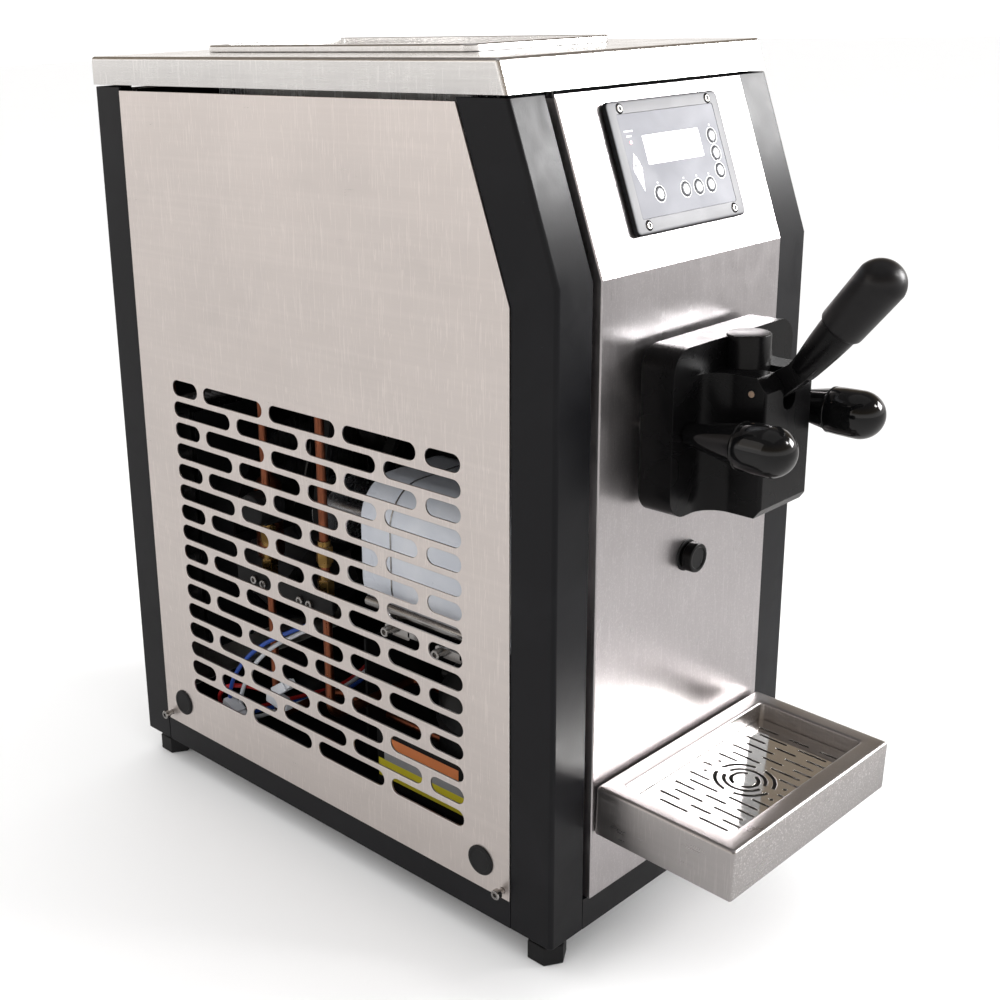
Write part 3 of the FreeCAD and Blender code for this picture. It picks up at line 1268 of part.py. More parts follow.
def make_grid():
    """Perforated plate: staggered short and long slots round three broken rings and four dots."""
    rim = dim.tray_rim.number
    slot_width = 2.0
    column = 8.34
    short_rows = ((-30.8, -15.6), (-7.5, 7.5), (15.6, 30.8))
    long_rows = ((-25.2, -4.2), (4.2, 25.2))
    dashes = ((-31.8, -24.5), (24.5, 31.8))
    centre = FreeCAD.Vector(0, -dim.tray_depth.number / 2, 0)
    faces = []
    for index in range(-8, 9):
        away = abs(index)
        rows = long_rows if away % 2 else short_rows
        if away < 3:
            rows = (dashes, (), short_rows[::2])[away]
        for low, high in rows:
            faces.append(stadium(column * index, centre.y + low + slot_width / 2,
                                 centre.y + high - slot_width / 2, slot_width))
    for radius, breaks, first, gap in ((8.7, 2, 0, 19), (13.3, 2, 90, 12), (19.0, 4, 0, 10)):
        step = 360 / breaks
        for part in range(breaks):
            start = first + part * step + gap
            faces.append(arc_slot(centre, radius, start, start + step - 2 * gap, 2.4))
    for x in (-column, column):
        for y in (-24.5, 24.5):
            spot = centre + FreeCAD.Vector(x, y, 0)
            faces.append(Part.Face(Part.Wire([Part.Circle(spot, Z_AXIS, 1.3).toShape()])))
    depth = dim.grid_sheet.number + 2
    solids = [face.extrude(FreeCAD.Vector(0, 0, depth)) for face in faces]
    slots = shape_feature("grid_slots", Part.makeCompound(solids))
    top = -dim.grid_drop.number
    slots.Placement = FreeCAD.Placement(FreeCAD.Vector(0, 0, top - depth + 1), FreeCAD.Rotation())
    gap = 0.4
    plate = box("grid_plate", (rim + gap - dim.tray_half, dim.tray_half - rim - gap),
                (rim + gap - dim.tray_depth, -rim - gap), (-dim.grid_drop - dim.grid_sheet,
                                                          -dim.grid_drop))
    tray_place("drip_grid", cut("grid", plate, [slots]))


# ========================================================================== build

make_front_posts()
make_rear_posts()
make_base_pan()
make_feet()
make_side_panels()
make_hole_plugs()
make_panel_screws()
make_front_panel()
make_back_panel()
make_power_inlet()
make_top_cover()
make_hopper_tank()
make_hopper_lid()
make_control_unit()
make_cylinder()
make_evaporator()
make_beater()
make_drive_train()
make_compressor()
make_condenser()
make_fan()
make_plumbing()
make_electrics()
make_door()
make_lever_pin()
make_door_fasteners()
make_piston()
make_lever()
make_drain_cap()
make_tray()
make_grid()
document.recompute()

for thing in document.Objects:
    if "Invalid" in thing.State or "Error" in thing.State:
        raise RuntimeError("%s failed: %s" % (thing.Label, thing.State))
os.makedirs("parts", exist_ok=True)
for label, thing in nodes.items():
    if thing.Shape.isNull() or not thing.Shape.isValid():
        raise RuntimeError("%s has no valid shape" % label)
for label, thing in nodes.items():
    thing.Shape.exportStep("parts/%s.step" % label)
    solids = thing.Shape.Solids
    print("%-20s %2d solid(s) %10.1f mm3" % (label, len(solids), thing.Shape.Volume))
extent = Part.makeCompound([thing.Shape for thing in nodes.values()]).BoundBox
print("box", [round(value, 2) for value in (
    extent.XMin, extent.XMax, extent.YMin, extent.YMax, extent.ZMin, extent.ZMax)])
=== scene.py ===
import math
import random

import bmesh
import bpy
from mathutils import Matrix, Quaternion, Vector


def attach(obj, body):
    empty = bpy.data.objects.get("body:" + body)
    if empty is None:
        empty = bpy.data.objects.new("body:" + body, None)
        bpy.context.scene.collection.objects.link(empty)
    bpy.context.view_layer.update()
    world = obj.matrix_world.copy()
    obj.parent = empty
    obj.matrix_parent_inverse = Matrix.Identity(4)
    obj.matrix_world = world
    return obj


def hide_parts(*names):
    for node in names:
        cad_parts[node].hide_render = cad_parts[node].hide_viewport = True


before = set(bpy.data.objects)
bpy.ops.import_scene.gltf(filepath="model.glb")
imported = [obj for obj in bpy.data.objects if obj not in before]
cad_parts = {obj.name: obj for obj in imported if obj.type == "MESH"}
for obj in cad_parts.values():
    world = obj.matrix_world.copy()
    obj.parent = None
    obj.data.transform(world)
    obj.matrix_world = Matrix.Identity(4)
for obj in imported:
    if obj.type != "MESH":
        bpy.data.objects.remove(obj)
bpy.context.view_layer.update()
random.seed(7)

# ---------- frames
# Pieces are drawn in millimetres in one of three frames and brought into the row frame:
# the chassis (Y = 0 on its front, Z = 0 under its base pan), the sloping upper front
# (-Y outward, Z up the slope from the bend) and the drip tray (origin on its top rear edge).

FRONT_Y, FOOT_HEIGHT, BEND_HEIGHT = -154.3, 20.0, 428.7
SLOPE_ANGLE, TRAY_SAG = math.radians(19.57), math.radians(2.0)
# Outer faces of the side and back sheets, their thickness, and the door's lower edge.
SIDE_X, REAR_Y, SHEET, DOOR_LOW = 131.0, 441.6, 1.5, 283.0
LEVER_PIVOT = Vector((0, -60.5, 358.8))
TO_METRES = Matrix.Scale(0.001, 4)
CHASSIS = TO_METRES @ Matrix.Translation((0, FRONT_Y, FOOT_HEIGHT))
SLOPE = CHASSIS @ Matrix.Translation((0, 0, BEND_HEIGHT)) @ Matrix.Rotation(-SLOPE_ANGLE, 4, "X")
TRAY = CHASSIS @ Matrix.Translation((0, -4.6, 106.0)) @ Matrix.Rotation(TRAY_SAG, 4, "X")


def axes(x_axis, y_axis, z_axis, origin=(0, 0, 0)):
    """Matrix whose columns are the given axes and origin."""
    columns = [Vector(v) for v in (x_axis, y_axis, z_axis, origin)]
    rows = [[column[i] for column in columns] for i in range(3)]
    return Matrix(rows + [[0, 0, 0, 1]])


def towards(direction, origin):
    """Matrix that stands the local Z axis along a direction at an origin."""
    turn = Vector(direction).to_track_quat("Z", "Y").to_matrix().to_4x4()
    return Matrix.Translation(origin) @ turn


shifted = Matrix.Translation
# The bore stands upright in the door; sheets are drawn flat, then turned frontward or sideways.
BORE_AXIS = shifted((0, -41, 0))
FRONTWARD = axes((1, 0, 0), (0, 0, 1), (0, -1, 0))
SIDEWAYS = axes((0, 1, 0), (0, 0, 1), (1, 0, 0))

# ---------- materials

LOOKS = {}


class Look:
    """One procedural material: a Principled surface and the nodes that drive it."""

    def __init__(self, name, color, roughness, metallic=0.0, **surface):
        self.name = name
        self.material = bpy.data.materials.new(name + "_look")
        self.material.use_nodes = True
        self.tree = self.material.node_tree
        self.surface = self.tree.nodes["Principled BSDF"]
        self.surface.inputs["Base Color"].default_value = (*color, 1)
        self.surface.inputs["Roughness"].default_value = roughness
        self.surface.inputs["Metallic"].default_value = metallic
        for socket, value in surface.items():
            self.surface.inputs[socket.replace("_", " ")].default_value = value
        self.color = self.value((*color, 1), kind="RGB")
        self.roughness = self.value(roughness)
        self.height = None
        self.place = self.node("TexCoord").outputs["Object"]

    def node(self, kind, **settings):
        made = self.tree.nodes.new("ShaderNode" + kind)
        for key, setting in settings.items():
            setattr(made, key, setting)
        return made

    def link(self, source, target):
        self.tree.links.new(source, target)

    def value(self, number, kind="Value"):
        made = self.node(kind)
        made.outputs[0].default_value = number
        return made.outputs[0]

    def math(self, operation, first, second):
        made = self.node("Math", operation=operation)
        for socket, item in zip(made.inputs, (first, second)):
            if isinstance(item, (int, float)):
                socket.default_value = item
            else:
                self.link(item, socket)
        return made.outputs[0]

    def stretched(self, scale):
        """Object coordinates scaled by (x, y, z)."""
        made = self.node("Mapping")
        made.inputs["Scale"].default_value = scale
        self.link(self.place, made.inputs["Vector"])
        return made.outputs["Vector"]

    def noise(self, scale, detail=3.0, stretch=(1, 1, 1), distortion=0.0):
        made = self.node("TexNoise")
        made.inputs["Scale"].default_value = 1.0
        made.inputs["Detail"].default_value = detail
        made.inputs["Distortion"].default_value = distortion
        self.link(self.stretched([scale * s for s in stretch]), made.inputs["Vector"])
        return made.outputs["Fac"]

    def cells(self, scale, stretch=(1, 1, 1), feature="F1"):
        made = self.node("TexVoronoi", feature=feature)
        made.inputs["Scale"].default_value = 1.0
        self.link(self.stretched([scale * s for s in stretch]), made.inputs["Vector"])
        return made.outputs["Distance"]

    def band(self, source, low, high, to_low=0.0, to_high=1.0):
        """Map a socket's low..high onto to_low..to_high, clamped."""
        made = self.node("MapRange")
        for name, number in (("From Min", low), ("From Max", high), ("To Min", to_low),
                             ("To Max", to_high)):
            made.inputs[name].default_value = number
        self.link(source, made.inputs["Value"])
        return made.outputs["Result"]

    def tint(self, amount, color, blend="MIX"):
        """Lay a colour over the base colour by an amount socket."""
        made = self.node("Mix", data_type="RGBA", blend_type=blend)
        self.link(amount, made.inputs["Factor"])
        self.link(self.color, made.inputs["A"])
        made.inputs["B"].default_value = (*color, 1)
        self.color = made.outputs["Result"]

    def roughen(self, source, spread):
        """Move the roughness by +-spread as the source runs 0..1."""
        shift = self.band(source, 0.25, 0.75, -spread, spread)
        self.roughness = self.math("ADD", self.roughness, shift)

    def relief(self, source, depth, strength=1.0):
        """Add a height layer, depth in metres."""
        made = self.node("Bump")
        made.inputs["Strength"].default_value = strength
        made.inputs["Distance"].default_value = depth
        self.link(source, made.inputs["Height"])
        if self.height is not None:
            self.link(self.height, made.inputs["Normal"])
        self.height = made.outputs["Normal"]

    def edge(self, radius):
        """1 on sharp edges, 0 on flats."""
        soft = self.node("Bevel", samples=4)
        soft.inputs["Radius"].default_value = radius
        flat = self.node("NewGeometry").outputs["Normal"]
        dot = self.node("VectorMath", operation="DOT_PRODUCT")
        self.link(soft.outputs["Normal"], dot.inputs[0])
        self.link(flat, dot.inputs[1])
        return self.band(dot.outputs["Value"], 0.995, 0.8)

    def facing(self, direction, low=0.2, high=0.9):
        """1 where the surface looks along a direction."""
        flat = self.node("NewGeometry").outputs["Normal"]
        dot = self.node("VectorMath", operation="DOT_PRODUCT")
        self.link(flat, dot.inputs[0])
        dot.inputs[1].default_value = direction
        return self.band(dot.outputs["Value"], low, high)

    def done(self):
        """Join what was laid down to the surface, and keep the material under its name."""
        clamp = self.node("Clamp")
        clamp.inputs["Min"].default_value = 0.03
        self.link(self.roughness, clamp.inputs["Value"])
        self.link(clamp.outputs["Result"], self.surface.inputs["Roughness"])
        self.link(self.color, self.surface.inputs["Base Color"])
        if self.height is not None:
            self.link(self.height, self.surface.inputs["Normal"])
        LOOKS[self.name] = self.material


def shade(color, gain, lift=0.0):
    return [min(1.0, c * gain + lift) for c in color]


def steel(name, color, roughness, grain=(1, 1, 0.02), grain_scale=1500.0, grain_depth=6e-6,
          sparkle=0.0, smudge=0.05, tangent="Z", anisotropic=0.35):
    """Stainless sheet with a directional grain, faint clouds, smudges, scratches, painted glints on
    front faces and painted edge highlights.
    """
    look = Look(name, color, roughness, metallic=1.0, Anisotropic=anisotropic)
    lay = look.node("Tangent", direction_type="RADIAL", axis=tangent)
    look.link(lay.outputs["Tangent"], look.surface.inputs["Tangent"])
    lines = look.noise(grain_scale, 3.0, grain)
    look.roughen(lines, 0.06)
    look.relief(lines, grain_depth)
    look.tint(look.band(look.noise(9.0, 4.0, distortion=0.6), 0.35, 0.7, 0.0, 0.16),
              shade(color, 0.72))
    look.tint(look.band(look.noise(grain_scale * 0.25, 2.0, grain), 0.45, 0.75, 0.0, 0.14),
              shade(color, 1.25))
    look.roughen(look.noise(26.0, 5.0, distortion=1.5), smudge)
    if sparkle:
        ahead = look.facing((0, -1, 0), 0.5, 0.95)
        fleck = look.math("MULTIPLY", look.cells(1500.0, (1, 1, 0.35)), ahead)
        look.relief(fleck, 5e-5 * sparkle)
        # painted glints: sparse light flecks tinted into the base colour of front-facing faces
        painted_glint = look.math("MULTIPLY", look.band(look.noise(900.0, 1.0), 0.58, 0.66), ahead)
        look.tint(look.math("MULTIPLY", painted_glint, 0.5 * sparkle), (0.95, 0.93, 0.91))
    scratch = look.band(look.noise(70.0, 0.0, (9, 9, 0.5), 2.0), 0.66, 0.685, 0.0, 0.25)
    look.tint(scratch, shade(color, 1.35))
    # painted highlight: the edges are tinted pale
    look.tint(look.band(look.edge(0.0007), 0.2, 1.0, 0.0, 0.55), (0.9, 0.88, 0.85))
    look.done()


def powder(name, color, roughness, grain_scale=750.0, grain_depth=3.5e-5, wear=0.25,
           shine=0.5, **surface):
    """Coated or moulded surface with a fine pebbled skin, dust in patches, rubbed edges."""
    look = Look(name, color, roughness, Specular_IOR_Level=shine, **surface)
    pebbles = look.noise(grain_scale, 2.0)
    look.relief(pebbles, grain_depth, 0.6)
    look.relief(look.noise(grain_scale * 0.12, 2.0), grain_depth * 2.5, 0.35)
    look.roughen(look.noise(35.0, 5.0, distortion=1.0), 0.06)
    dust = look.band(look.noise(14.0, 6.0, distortion=0.8), 0.5, 0.85, 0.0, 0.5)
    look.tint(dust, shade(color, 1.7, 0.004))
    speck = look.band(look.noise(420.0, 1.0), 0.80, 0.84, 0.0, 0.3)
    look.tint(speck, shade(color, 2.0, 0.03))
    look.tint(look.band(look.edge(0.0006), 0.3, 1.0, 0.0, wear), shade(color, 1.6, 0.05))
    look.done()


def cast(name, color, roughness, metallic=1.0, turning=(1, 1, 1), scale=600.0, depth=1e-5,
         stain=(0.1, 0.09, 0.08), stain_share=0.25, **surface):
    """Machined or drawn metal with tool marks, tarnish clouds and painted highlights on the edges.
    """
    look = Look(name, color, roughness, metallic=metallic, **surface)
    marks = look.noise(scale, 3.0, turning)
    look.relief(marks, depth)
    look.roughen(marks, 0.07)
    look.tint(look.band(look.noise(30.0, 5.0, distortion=0.7), 0.45, 0.75, 0.0, stain_share), stain)
    look.roughen(look.noise(60.0, 4.0), 0.08)
    # painted highlight: the edges are tinted near white
    look.tint(look.band(look.edge(0.0005), 0.3, 1.0, 0.0, 0.4), (0.9, 0.88, 0.86))
    look.done()


def housing_look():
    """Black moulded body; the outward face is tinted silver-grey as a painted sheen, the edges
    carry a painted highlight.
    """
    look = Look("control_shell", (0.006, 0.006, 0.007), 0.36, Specular_IOR_Level=0.12)
    out = (0.0, -math.cos(SLOPE_ANGLE), math.sin(SLOPE_ANGLE))
    # painted sheen: the face that looks out along the slope is tinted silver-grey
    look.tint(look.facing(out, 0.75, 0.95), (0.20, 0.20, 0.208))
    look.relief(look.noise(900.0, 2.0), 2e-5, 0.5)
    look.roughen(look.noise(50.0, 4.0), 0.05)
    # painted highlight: the edges are tinted lighter
    look.tint(look.band(look.edge(0.0006), 0.3, 1.0, 0.0, 0.3), (0.2, 0.2, 0.21))
    look.done()


powder("black_powder", (0.0032, 0.0033, 0.0045), 0.36, shine=0.2)
steel("side_steel", (0.73, 0.675, 0.645), 0.36, (1, 0.02, 1), 1300.0, tangent="Y")
steel("back_steel", (0.60, 0.58, 0.55), 0.38, (0.02, 1, 1), 1300.0, tangent="X")
steel("front_steel", (0.50, 0.475, 0.48), 0.34, (1, 1, 0.02), 1500.0, sparkle=0.25, tangent="Z")
steel("tray_steel", (0.42, 0.40, 0.395), 0.33, (0.03, 0.03, 1), 900.0, 4e-6, sparkle=0.8,
      tangent="Z", anisotropic=0.1)
steel("cover_steel", (0.72, 0.71, 0.70), 0.24, (1, 0.02, 1), 1500.0, tangent="Y")
steel("hopper_steel", (0.68, 0.68, 0.68), 0.25, (1, 1, 0.05), 700.0, tangent="Z")
steel("grid_steel", (0.80, 0.79, 0.77), 0.06, (1, 0.02, 1), 600.0, 1e-6, smudge=0.03, tangent="Y",
      anisotropic=0.0)
cast("fastener_steel", (0.40, 0.39, 0.38), 0.22, scale=2500.0)
cast("pin_steel", (0.50, 0.36, 0.26), 0.3, scale=2500.0)
cast("machined_steel", (0.56, 0.56, 0.57), 0.24, turning=(1, 0.05, 1))
powder("black_gloss", (0.003, 0.003, 0.0032), 0.09, 260.0, 6e-6, 0.1, shine=0.34)
powder("grip_black", (0.006, 0.0055, 0.006), 0.33, 1400.0, 2.5e-5, 0.15, shine=0.25)
powder("black_satin", (0.0025, 0.0024, 0.0026), 0.27, 1100.0, 1.6e-5, 0.2, shine=0.16)
powder("dull_black", (0.008, 0.008, 0.0085), 0.5, 900.0, 4e-5, 0.3, shine=0.2)
# lighter copy of black satin for the piston's top face: painted light on the top
powder("piston_top", (0.012, 0.012, 0.0125), 0.34, 900.0, 2e-5, 0.4, shine=0.22)
powder("white_plastic", (0.80, 0.79, 0.76), 0.4, 800.0, 2e-5, 0.1)
housing_look()
powder("membrane_grey", (0.18, 0.183, 0.205), 0.42, 1600.0, 1.2e-5, 0.1, shine=0.15)
powder("print_white", (0.78, 0.79, 0.80), 0.4, 1600.0, 6e-6, 0.0)
powder("led_red", (0.62, 0.05, 0.03), 0.25, 1600.0, 6e-6, 0.0, Emission_Color=(1.0, 0.1, 0.05, 1),
       Emission_Strength=0.6)
powder("display_clear", (0.83, 0.85, 0.86), 0.12, 300.0, 2e-6, 0.0, Coat_Weight=0.8,
       Coat_Roughness=0.03)
powder("key_grey", (0.10, 0.102, 0.11), 0.2, 1500.0, 8e-6, 0.1, shine=0.3)
# flat black without specular: painted shade for the screw dishes and the gap under the cover
powder("screw_shade", (0.004, 0.004, 0.004), 0.7, 1500.0, 8e-6, 0.0, shine=0.0)
powder("black_rubber", (0.010, 0.010, 0.010), 0.62, 700.0, 5e-5, 0.2, shine=0.2)
cast("copper", (0.34, 0.115, 0.06), 0.34, stain=(0.06, 0.025, 0.018), stain_share=0.5, scale=900.0)
cast("brass", (0.36, 0.22, 0.07), 0.3, stain=(0.1, 0.06, 0.02))
powder("foam", (0.05, 0.05, 0.052), 0.85, 260.0, 2.5e-4, 0.1)
powder("white_paint", (0.64, 0.67, 0.73), 0.32, 500.0, 2e-5, 0.2)
powder("grey_paint", (0.20, 0.21, 0.22), 0.4, 200.0, 9e-5, 0.4)
powder("black_paint", (0.006, 0.006, 0.0065), 0.33, 300.0, 3e-5, 0.3, shine=0.2)
cast("aluminium_fins", (0.16, 0.16, 0.165), 0.45, scale=400.0)
powder("case_grey", (0.012, 0.012, 0.013), 0.45, 500.0, 3e-5, 0.4)
for name, color, gloss in (("blue", (0.02, 0.07, 0.34), 0.35), ("white", (0.62, 0.64, 0.68), 0.4),
                           ("red", (0.45, 0.02, 0.02), 0.35)):
    powder("cable_" + name, color, gloss, 600.0, 2e-5, 0.1)
for name, color, gloss in (("yellow", (0.72, 0.62, 0.04), 0.35), ("grey", (0.30, 0.30, 0.31), 0.4),
                           ("orange", (0.62, 0.20, 0.07), 0.4)):
    powder("label_" + name, color, gloss, 900.0, 8e-6, 0.1)

# ---------- mesh tools


class Piece:
    """A mesh drawn in millimetres, then brought into the row frame and put on a body."""

    def __init__(self, name, frame_matrix=CHASSIS):
        self.name = name
        self.frame_matrix = frame_matrix
        self.replaced = []
        self.mesh = bmesh.new()

    def add(self, points, faces, matrix=Matrix()):
        verts = [self.mesh.verts.new(matrix @ Vector(p)) for p in points]
        for face in faces:
            self.mesh.faces.new([verts[i] for i in face])

    def box(self, x, y, z, matrix=Matrix()):
        points = [(a, b, c) for c in z for b in y for a in x]
        faces = [(0, 2, 3, 1), (4, 5, 7, 6), (0, 1, 5, 4), (2, 6, 7, 3), (0, 4, 6, 2), (1, 3, 7, 5)]
        self.add(points, faces, matrix)

    def prism(self, outline, low, high, matrix=Matrix()):
        """Extrude an outline of (x, y) points from low to high along the local Z axis."""
        n = len(outline)
        points = [(x, y, low) for x, y in outline] + [(x, y, high) for x, y in outline]
        sides = [(i, (i + 1) % n, n + (i + 1) % n, n + i) for i in range(n)]
        self.add(points, [tuple(range(n))[::-1], tuple(range(n, 2 * n))] + sides, matrix)

    def lathe(self, profile, matrix=Matrix(), segments=72):
        """Turn (radius, height) points about the local Z axis; a zero radius closes an end."""
        rows = []
        for radius, height in profile:
            count = 1 if radius < 1e-6 else segments
            rows.append([self.mesh.verts.new(matrix @ Vector((
                radius * math.cos(math.tau * i / segments),
                radius * math.sin(math.tau * i / segments), height))) for i in range(count)])
        for below, above in zip(rows, rows[1:]):
            if len(below) == 1 and len(above) == 1:
                continue
            for i in range(segments):
                after = (i + 1) % segments
                corners = [below[i % len(below)], below[after % len(below)],
                           above[after % len(above)], above[i % len(above)]]
                self.mesh.faces.new(list(dict.fromkeys(corners)))

    def tube(self, path, radius, segments=20, matrix=Matrix()):
        """Round tube along a list of points, closed at both ends."""
        points = [Vector(p) for p in path]
        rings = []
        guide = Vector((0, 0, 1)) if abs((points[1] - points[0]).normalized().z) < 0.9 else \
            Vector((1, 0, 0))
        for i, point in enumerate(points):
            ahead = points[min(i + 1, len(points) - 1)] - points[max(i - 1, 0)]
            ahead.normalize()
            across = (guide - ahead * guide.dot(ahead)).normalized()
            guide = across
            up = ahead.cross(across)
            rings.append([self.mesh.verts.new(matrix @ (point + radius * (
                math.cos(math.tau * k / segments) * across
                + math.sin(math.tau * k / segments) * up))) for k in range(segments)])
        for first, second in zip(rings, rings[1:]):
            for k in range(segments):
                after = (k + 1) % segments
                self.mesh.faces.new([first[k], first[after], second[after], second[k]])
        self.mesh.faces.new(rings[0][::-1])
        self.mesh.faces.new(rings[-1])

    def to_object(self):
        data = bpy.data.meshes.new(self.name)
        bmesh.ops.recalc_face_normals(self.mesh, faces=self.mesh.faces)
        self.mesh.to_mesh(data)
        self.mesh.free()
        data.transform(self.frame_matrix)
        return placed(self.name, data)

    def finish(self, look, slot=None, body="chassis", bevel=0.0, segments=2, smooth=35.0,
               joins=(), cuts=()):
        """Make the object, join, cut and bevel it, shade it, and put it on its body."""
        made = self.to_object()
        for piece in joins:
            combine(made, piece, "UNION")
        for piece in cuts:
            combine(made, piece, "DIFFERENCE")
        settle(made, look, body, bevel, segments, self.replaced, smooth)


class Skin(Piece):
    """A piece drawn in place of a CAD node."""

    def __init__(self, node, frame_matrix=CHASSIS):
        super().__init__(node + "_skin", frame_matrix)
        self.replaced = [node]


def placed(name, data):
    """Object of a mesh or a curve, in the scene."""
    made = bpy.data.objects.new(name, data)
    bpy.context.scene.collection.objects.link(made)
    return made


def apply_modifier(thing, kind, **settings):
    """Run one modifier and keep its result as the object's own mesh."""
    modifier = thing.modifiers.new(kind, kind)
    for key, setting in settings.items():
        setattr(modifier, key, setting)
    graph = bpy.context.evaluated_depsgraph_get()
    result = bpy.data.meshes.new_from_object(thing.evaluated_get(graph))
    thing.modifiers.clear()
    thing.data = result


def combine(thing, piece, operation):
    """Join a piece to an object or cut it out of the object."""
    tool = piece.to_object()
    apply_modifier(thing, "BOOLEAN", object=tool, operation=operation, solver="EXACT")
    bpy.data.objects.remove(tool)


def settle(thing, look, body, bevel, segments, replaces, smooth):
    """Round the edges (bevel in millimetres), shade, paint, and ride on a body.
    """
    if bevel:
        apply_modifier(thing, "BEVEL", width=bevel * 0.001, segments=segments,
                       limit_method="ANGLE", angle_limit=math.radians(38), harden_normals=False,
                       use_clamp_overlap=True)
    thing.data.shade_smooth()
    thing.data.set_sharp_from_angle(angle=math.radians(smooth))
    if bevel:
        apply_modifier(thing, "WEIGHTED_NORMAL", keep_sharp=True)
    thing.data.materials.clear()
    thing.data.materials.append(LOOKS[look])
    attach(thing, body)
    if replaces:
        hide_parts(*replaces)


def refined(node, look, slot=None, bevel=0.4, body="chassis"):
    """Copy of a CAD node with merged facets, rounded edges and clean shading."""
    piece = Skin(node, Matrix())
    piece.mesh.from_mesh(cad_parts[node].data)
    bmesh.ops.remove_doubles(piece.mesh, verts=piece.mesh.verts, dist=2e-6)
    bmesh.ops.dissolve_limit(piece.mesh, angle_limit=math.radians(0.6), verts=piece.mesh.verts,
                             edges=piece.mesh.edges)
    piece.finish(look, slot, body, bevel)


def corners_of(radius, count=6):
    """Corner points of a regular polygon."""
    turns = [math.tau * i / count for i in range(count)]
    return [(radius * math.cos(a), radius * math.sin(a)) for a in turns]


def arc(cx, cy, radius, start, stop, steps=10):
    """Points along an arc, angles in degrees."""
    out = []
    for i in range(steps + 1):
        a = math.radians(start + (stop - start) * i / steps)
        out.append((cx + radius * math.cos(a), cy + radius * math.sin(a)))
    return out


def rounded_rectangle(x0, x1, y0, y1, radius, steps=10):
    return (arc(x1 - radius, y0 + radius, radius, -90, 0, steps)
            + arc(x1 - radius, y1 - radius, radius, 0, 90, steps)
            + arc(x0 + radius, y1 - radius, radius, 90, 180, steps)
            + arc(x0 + radius, y0 + radius, radius, 180, 270, steps))


def level_slot(x0, x1, y, radius):
    """Outline of a slot with round ends, lengthwise along local X."""
    return arc(x1 - radius, y, radius, -90, 90, 12) + arc(x0 + radius, y, radius, 90, 270, 12)


def upright_slot(x, y0, y1, radius):
    return arc(x, y1 - radius, radius, 0, 180, 8) + arc(x, y0 + radius, radius, 180, 360, 8)


def cut_sheet(node, outer, holes, thickness, matrix, look, bevel=0.35,
              frame_matrix=CHASSIS, body="chassis"):
    """Flat sheet with holes, for a CAD node; local z runs over -thickness/2..thickness/2."""
    curve = bpy.data.curves.new(node + "_skin", "CURVE")
    curve.dimensions = "2D"
    curve.fill_mode = "BOTH"
    curve.extrude = thickness / 2 - bevel
    curve.bevel_depth = bevel
    curve.bevel_resolution = 2
    curve.offset = -bevel
    for outline in [outer] + holes:
        spline = curve.splines.new("POLY")
        spline.points.add(len(outline) - 1)
        for point, (x, y) in zip(spline.points, outline):
            point.co = (x, y, 0, 1)
        spline.use_cyclic_u = True
    holder = placed(node + "_curve", curve)
    graph = bpy.context.evaluated_depsgraph_get()
    data = bpy.data.meshes.new_from_object(holder.evaluated_get(graph))
    bpy.data.objects.remove(holder)
    data.transform(frame_matrix @ matrix)
    settle(placed(node + "_skin", data), look, body, 0.0, 1, [node], 40.0)


def bent_path(points, bend, steps=8):
    """Round off the corners of a polyline."""
    points = [Vector(p) for p in points]
    out = [points[0]]
    for before, corner, after in zip(points, points[1:], points[2:]):
        arrive, leave = (corner - before).normalized(), (after - corner).normalized()
        reach = min(bend, (corner - before).length * 0.45, (after - corner).length * 0.45)
        start, end = corner - arrive * reach, corner + leave * reach
        for i in range(steps + 1):
            t = i / steps
            out.append((1 - t) ** 2 * start + 2 * t * (1 - t) * corner + t * t * end)
    out.append(points[-1])
    return out


def dome(radius, low, high, steps=14):
    """Profile points of a spherical cap from its rim at low to its pole at high."""
    height = high - low
    ball = (radius ** 2 + height ** 2) / (2 * height)
    centre = high - ball
    start = math.asin((low - centre) / ball)
    out = []
    for i in range(steps + 1):
        a = start + (math.pi / 2 - start) * i / steps
        out.append((ball * math.cos(a) if i < steps else 0.0, centre + ball * math.sin(a)))
    return out


# ---------- chassis

for post in ("front_left_post", "front_right_post", "rear_left_post", "rear_right_post"):
    refined(post, "black_powder", bevel=0.5)
refined("base_pan", "black_powder", bevel=0.6)
refined("feet", "dull_black", "black_satin", bevel=0.3)

ROWS = (((73.8, 104.2), (112.1, 180.4), (187.6, 256.3), (263.8, 331.3), (338.7, 368.8)),
        ((73.7, 142.1), (149.4, 218.2), (225.9, 293.7), (301.4, 368.8)))
ROW_TOP, ROW_PITCH, ROW_COUNT = 312.5, 16.53, 16
PLUGS = ((58.9, 41.5), (384.5, 42.4))
SCREWS = ((40.0, 27.0), (403.0, 27.0))
PANEL_LOW, PANEL_HIGH, PANEL_BEND = 20.8, 529.0, 415.0


def side_panels():
    """Slotted side sheets."""
    lean, front, rear = 36.5 / 102.7, 34.3, 409.0
    outer = [(front, PANEL_LOW), (rear, PANEL_LOW), (rear, PANEL_HIGH),
             (front + (PANEL_HIGH - PANEL_BEND) * lean, PANEL_HIGH), (front, PANEL_BEND)]
    holes = []
    for k in range(ROW_COUNT):
        for low, high in ROWS[k % 2]:
            holes.append(level_slot(low, high, ROW_TOP - ROW_PITCH * k, 6.0))
    for y, z in PLUGS:
        holes.append(arc(y, z, 9.0, 0, 345, 23))
    for y, z in SCREWS:
        holes.append(arc(y, z, 2.2, 0, 330, 11))
    for side, node in ((-1, "left_side_panel"), (1, "right_side_panel")):
        place = shifted((side * (SIDE_X - SHEET / 2), 0, 0)) @ SIDEWAYS
        cut_sheet(node, outer, holes, SHEET, place, "side_steel")


